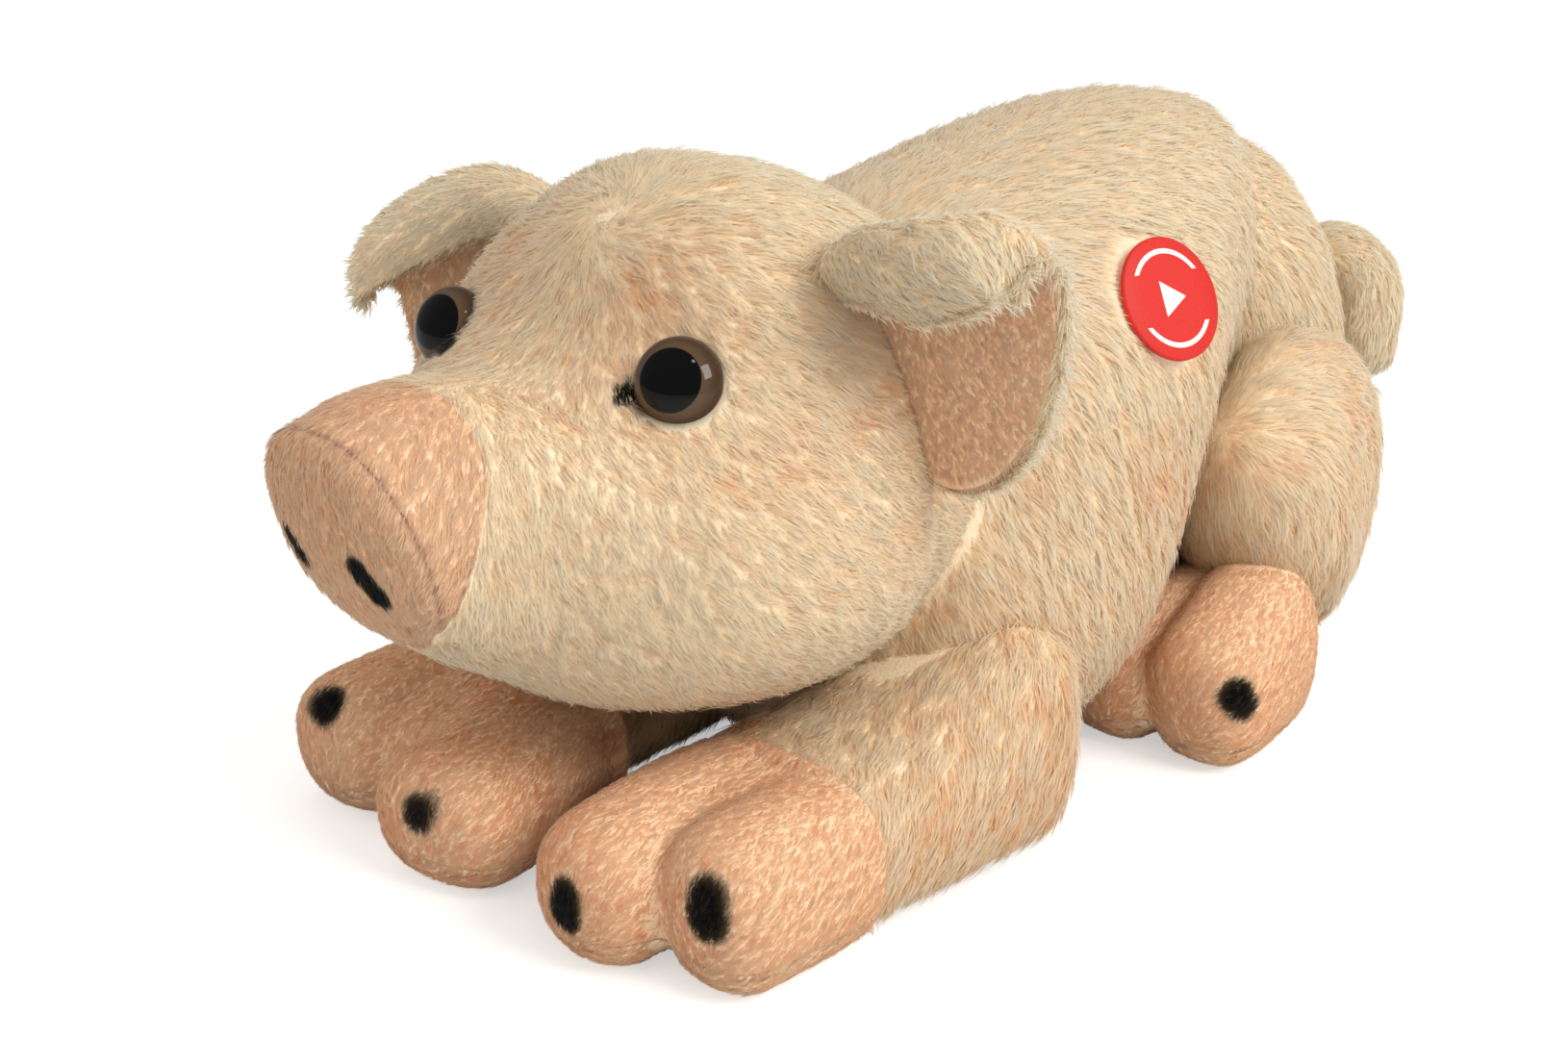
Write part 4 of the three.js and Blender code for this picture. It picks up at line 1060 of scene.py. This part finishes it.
for side_name, side in [("left", 1), ("right", -1)]:
    for end_name in ("front", "hind"):
        name = f"{end_name}_{side_name}"
        body = f"{'foreleg' if end_name == 'front' else 'hindleg'}_{side_name}"
        if end_name == "front":
            leg_path, caps, fullness = mirrored(front_leg_stations, side), front_leg_caps, sleeve_fullness
            toes = [mirrored(t, side) for t in front_toes[side_name] + [front_webs[side_name]]]
            leg_ends = [((0, wrist_seam + seam_gap, 0), (0, 1, 0))]
            foot_ends = [((0, wrist_seam - seam_gap, 0), (0, -1, 0))]
            comb, start, end = front_leg_comb, (38, -18, 23), (38, -56, 20)
        else:
            leg_path, caps, fullness = mirrored(hind_leg_stations, side), hind_leg_caps, 2.0
            toes = [mirrored(t, side) for t in hind_toes]
            leg_ends, foot_ends = [], []
            comb, start, end = hind_leg_comb, (38, 78, 42), (44, 40, 38)
        leg_whole = merged_form(f"{name}_leg_whole", [limb_rings(leg_path, caps, -long_pile_depth, fullness)])
        leg = cut_closed(leg_whole, f"{name}_leg_plush", leg_ends + [over_table], cream_cloth)
        tubes = [limb_rings(toe, toe_caps, -short_pile_depth, toe_fullness) for toe in toes]
        if end_name == "front":
            tubes.append(limb_rings(leg_path, caps, -short_pile_depth, fullness))
        foot_whole = merged_form(f"{name}_foot_whole", tubes)
        upper_cut = [((0, 0, sole_height + seam_gap), (0, 0, 1))]
        sole_cut = [((0, 0, sole_height - seam_gap), (0, 0, -1)), over_table]
        upper = cut_closed(foot_whole, f"{name}_foot_plush", foot_ends + upper_cut, pink_cloth)
        sole = cut_closed(foot_whole, f"{name}_sole_cloth", foot_ends + sole_cut, cream_cloth)
        leg_surface, foot_surface = surface_of(leg), surface_of(foot_whole)
        for spare in (leg_whole, foot_whole):
            bpy.data.objects.remove(spare)

        def leg_keep(p, up, end_name=end_name, toes=toes):
            """Keep sleeve pile outside the torso and the foot, and off the table."""
            hidden = inside_slices(p, torso_stations, torso_fullness, -3.5)
            if end_name == "front":
                hidden |= p[:, 1] < wrist_seam - 1
            else:
                for toe in toes:
                    hidden |= inside_limb(p, toe, toe_caps, -1.5)
            return ~hidden & (p[:, 2] > pile_above_table["leg"])

        def foot_keep(p, up, end_name=end_name, leg_path=leg_path, caps=caps):
            """Keep foot pile beyond its seam and off the table."""
            ahead = p[:, 1] < wrist_seam + 1 if end_name == "front" else ~inside_limb(p, leg_path, caps, -1.0)
            return ahead & (p[:, 2] > pile_above_table["foot"])

        marks = {"dark": airbrush_and_shade_strokes(spots[name]), "crease": sole_crease, "blush_and_shade": leg_blush_and_shade}
        mark_cloth(upper, marks)
        leg_hair = grow_pile(
            f"{name}_leg_pile", leg_surface, cream_pile, comb, leg_nap, leg_keep, 60 + side, {"blush_and_shade": leg_blush_and_shade},
        )
        foot_hair = grow_pile(
            f"{name}_foot_pile", foot_surface, pink_pile, foot_comb, foot_nap, foot_keep, 70 + side, marks,
        )
        start, end = (in_metres(place, side) for place in (start, end))
        for piece in (leg, leg_hair):
            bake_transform(piece)
        for piece in (upper, sole, foot_hair):
            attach(piece, body)
        for piece, node in [(leg, f"{name}_leg"), (upper, f"{name}_foot"), (sole, f"{name}_sole")]:
            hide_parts(node)
        limbs[name] = [(leg_path, caps)] + [(toe, toe_caps) for toe in toes]

# Tail: a thin stuffed curl of the body plush, sewn into the rump.

tail_stations = [
    [10, 107, 79, 8, 8],
    [12, 116.5, 81.5, 8.5, 8.5],
    [17.5, 120.5, 82.5, 9.5, 9],
    [24, 120.5, 77, 9.5, 9.5],
    [26.5, 118.5, 67, 9, 9],
    [26.5, 117.5, 56.5, 8, 8],
]
tail_caps = (7, 8)


def tail_comb(p):
    """Combed along the curl towards its tip."""
    fine = read_stations(tail_stations, np.linspace(0, 1, 60))[:, :3]
    nearest = np.argmin(((p[:, None] - fine[None]) ** 2).sum(2), axis=1).clip(0, 58)
    return fine[nearest + 1] - fine[nearest]


tail = put_mesh("tail_plush", *closed_tube(limb_rings(tail_stations, tail_caps, -long_pile_depth)), cream_cloth)
face_outwards(tail)
tail_nap = dict(long_nap, density=5.0, length=5.0)
tail_keep = lambda p, up: ~inside_slices(p, torso_stations, torso_fullness, -3.0)
tail_hair = grow_pile("tail_pile", surface_of(tail), cream_pile, tail_comb, tail_nap, tail_keep, 90)
for piece in (tail, tail_hair):
    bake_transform(piece)
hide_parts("tail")

# Torso pile: the long cream pile of the body, in two flanks and two rumps, left open where the press patch, the
# head and the legs are.


def torso_keep(low, high, side):
    """Keep body pile of one panel, clear of the patch, the head and the legs, and off the table."""
    def keep(p, up):
        x, y, z = p.T
        spoke = p - patch_place
        flat = spoke - (spoke @ patch_facing)[:, None] * patch_facing
        leaning = np.clip(-(unit(flat) * unit(torso_comb(p))).sum(1), 0, 1)
        clear = (np.linalg.norm(flat, axis=1) > patch_radius - 0.3 + 5.5 * leaning) | (x < 20)
        hidden = inside_slices(p, head_stations, head_fullness, -3.0) & (y < -40)
        for path, caps in sum(limbs.values(), []):
            hidden |= inside_limb(p, path, caps, -2.5)
        return clear & ~hidden & (z > pile_above_table["torso"]) & (y >= low) & (y < high) & (x * side >= 0)
    return keep


torso_surface = surface_of(torso_plush)
rump_start = 40
for name, low, high, side, seed in [
    ("left_flank", -far_off, rump_start, 1, 102), ("right_flank", -far_off, rump_start, -1, 100),
    ("left_rump", rump_start, far_off, 1, 106), ("right_rump", rump_start, far_off, -1, 104),
]:
    keep = torso_keep(low, high, side)
    hair = grow_pile(
        f"{name}_pile", torso_surface, cream_pile, torso_comb, long_nap, keep, seed, {"blush_and_shade": torso_blush},
    )
    if name == "left_flank":
        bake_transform(hair)
    else:
        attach(hair, "torso")

# Press patch: a thin red cloth disc, glued over the button, with a white print.

red_print, n = material("red_print")
across_patch, over_patch = n.attribute("print_x"), n.attribute("print_y")
radius = n.math("SQRT", n.math("ADD", n.math("POWER", across_patch, 2.0), n.math("POWER", over_patch, 2.0)))
ring = n.math("MULTIPLY", n.math("GREATER_THAN", radius, 0.72), n.math("LESS_THAN", radius, 0.8))
tall = n.math("GREATER_THAN", n.math("ABSOLUTE", over_patch), 0.42)
arcs = n.math("MULTIPLY", ring, tall)
sloped = n.math("MULTIPLY", n.math("SUBTRACT", 0.3, across_patch), 0.58)
wedge = n.math("LESS_THAN", n.math("ABSOLUTE", over_patch), sloped)
wedge = n.math("MULTIPLY", wedge, n.math("GREATER_THAN", across_patch, -0.2))
weave = n.noise(2500, 2)
red = n.mix(weave, colour(0.8, 0.1, 0.07), colour(0.9, 0.16, 0.1))
base = n.mix(n.math("MAXIMUM", arcs, wedge), red, colour(0.97, 0.95, 0.93))
bump = n.add("ShaderNodeBump", Strength=0.3, Distance=0.0002, Height=weave).outputs[0]
shader = n.add("ShaderNodeBsdfPrincipled", Base_Color=base, Roughness=0.6, Normal=bump)
n.surface(shader)
rim = 0.35
disc_profile = [(0.01, -0.8), (patch_radius - rim, -0.8), (patch_radius, -0.5), (patch_radius, 0.2),
                (patch_radius - rim, 0.45), (patch_radius * 0.6, 0.5), (0.01, 0.5)]
patch = turned_piece("press_patch_cloth", disc_profile, patch_place, patch_facing, red_print, 96)
spokes = surface_of(patch)[0] - patch_place
patch_across = unit(np.cross((0, 0, 1), patch_facing))
patch_over = np.cross(patch_facing, patch_across)
spokes = spokes / patch_radius
keep_values(patch.data, {"print_x": spokes @ patch_across, "print_y": spokes @ patch_over})
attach(patch, "button")
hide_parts("press_patch")

# Inside: moulded case, screws, board, rubber dome, cells, loudspeaker, push button and the eyes' washers keep the
# shapes of the frame. Each gets the finish of its material.


def moulded_finish(name, base, worn, roughness, grain):
    """Moulded plastic or rubber: faint flow marks in its colour and a fine eroded grain."""
    made, n = material(name)
    mixed = n.mix(n.steps(n.noise(220, 4, 0.6), 0.35, 0.75), base, worn)
    bump = n.add("ShaderNodeBump", Strength=grain, Distance=0.0001, Height=n.noise(5000, 2)).outputs[0]
    shader = n.add("ShaderNodeBsdfPrincipled", Base_Color=mixed, Roughness=roughness, Normal=bump)
    n.surface(shader)
    return made


def metal_finish(name, base, dulled):
    """Nickel-plated steel with dull clouds and fine rolled streaks."""
    made, n = material(name)
    clouds = n.noise(400, 4, 0.6)
    gloss = n.steps(clouds, 0.3, 0.8, 0.22, 0.42)
    bump = n.add("ShaderNodeBump", Strength=0.15, Distance=0.0001, Height=n.noise(3500, 3)).outputs[0]
    steel = n.mix(clouds, base, dulled)
    shader = n.add("ShaderNodeBsdfPrincipled", Base_Color=steel, Metallic=1.0, Roughness=gloss, Normal=bump)
    n.surface(shader)
    return made


def board_finish(name):
    """Green solder mask over a glass weave, with paler copper tracks showing through."""
    made, n = material(name)
    tracks = n.steps(n.noise(350, 0, 0.5), 0.5, 0.53)
    mask = n.mix(tracks, colour(0.07, 0.34, 0.2), colour(0.13, 0.46, 0.27))
    speck = n.mix(n.steps(n.noise(4000, 1), 0.55, 0.7, 0.0, 0.3), mask, colour(0.2, 0.5, 0.33))
    bump = n.add("ShaderNodeBump", Strength=0.3, Distance=0.0001, Height=tracks).outputs[0]
    shader = n.add("ShaderNodeBsdfPrincipled", Base_Color=speck, Roughness=0.4, Normal=bump)
    n.surface(shader)
    return made


black_moulding = moulded_finish("black_moulding", colour(0.1, 0.1, 0.11), colour(0.14, 0.14, 0.15), 0.42, 0.4)
white_moulding = moulded_finish("white_moulding", colour(0.9, 0.9, 0.88), colour(0.85, 0.85, 0.82), 0.4, 0.3)
grey_rubber = moulded_finish("grey_rubber", colour(0.42, 0.42, 0.43), colour(0.36, 0.36, 0.37), 0.8, 0.6)
plated_steel = metal_finish("plated_steel", colour(0.76, 0.76, 0.75), colour(0.64, 0.64, 0.63))
green_board = board_finish("green_board")
inside_finishes = {
    "case_front": black_moulding, "case_back": black_moulding, "loudspeaker": black_moulding,
    "push_button": white_moulding, "left_eye_washer": white_moulding, "right_eye_washer": white_moulding,
    "switch_dome": grey_rubber, "circuit_board": green_board,
    "case_screw_1": plated_steel, "case_screw_2": plated_steel, "case_screw_3": plated_steel,
    "button_cell_1": plated_steel, "button_cell_2": plated_steel, "button_cell_3": plated_steel,
}
for node, finish in inside_finishes.items():
    for slot in cad_nodes[node].material_slots:
        slot.material = finish
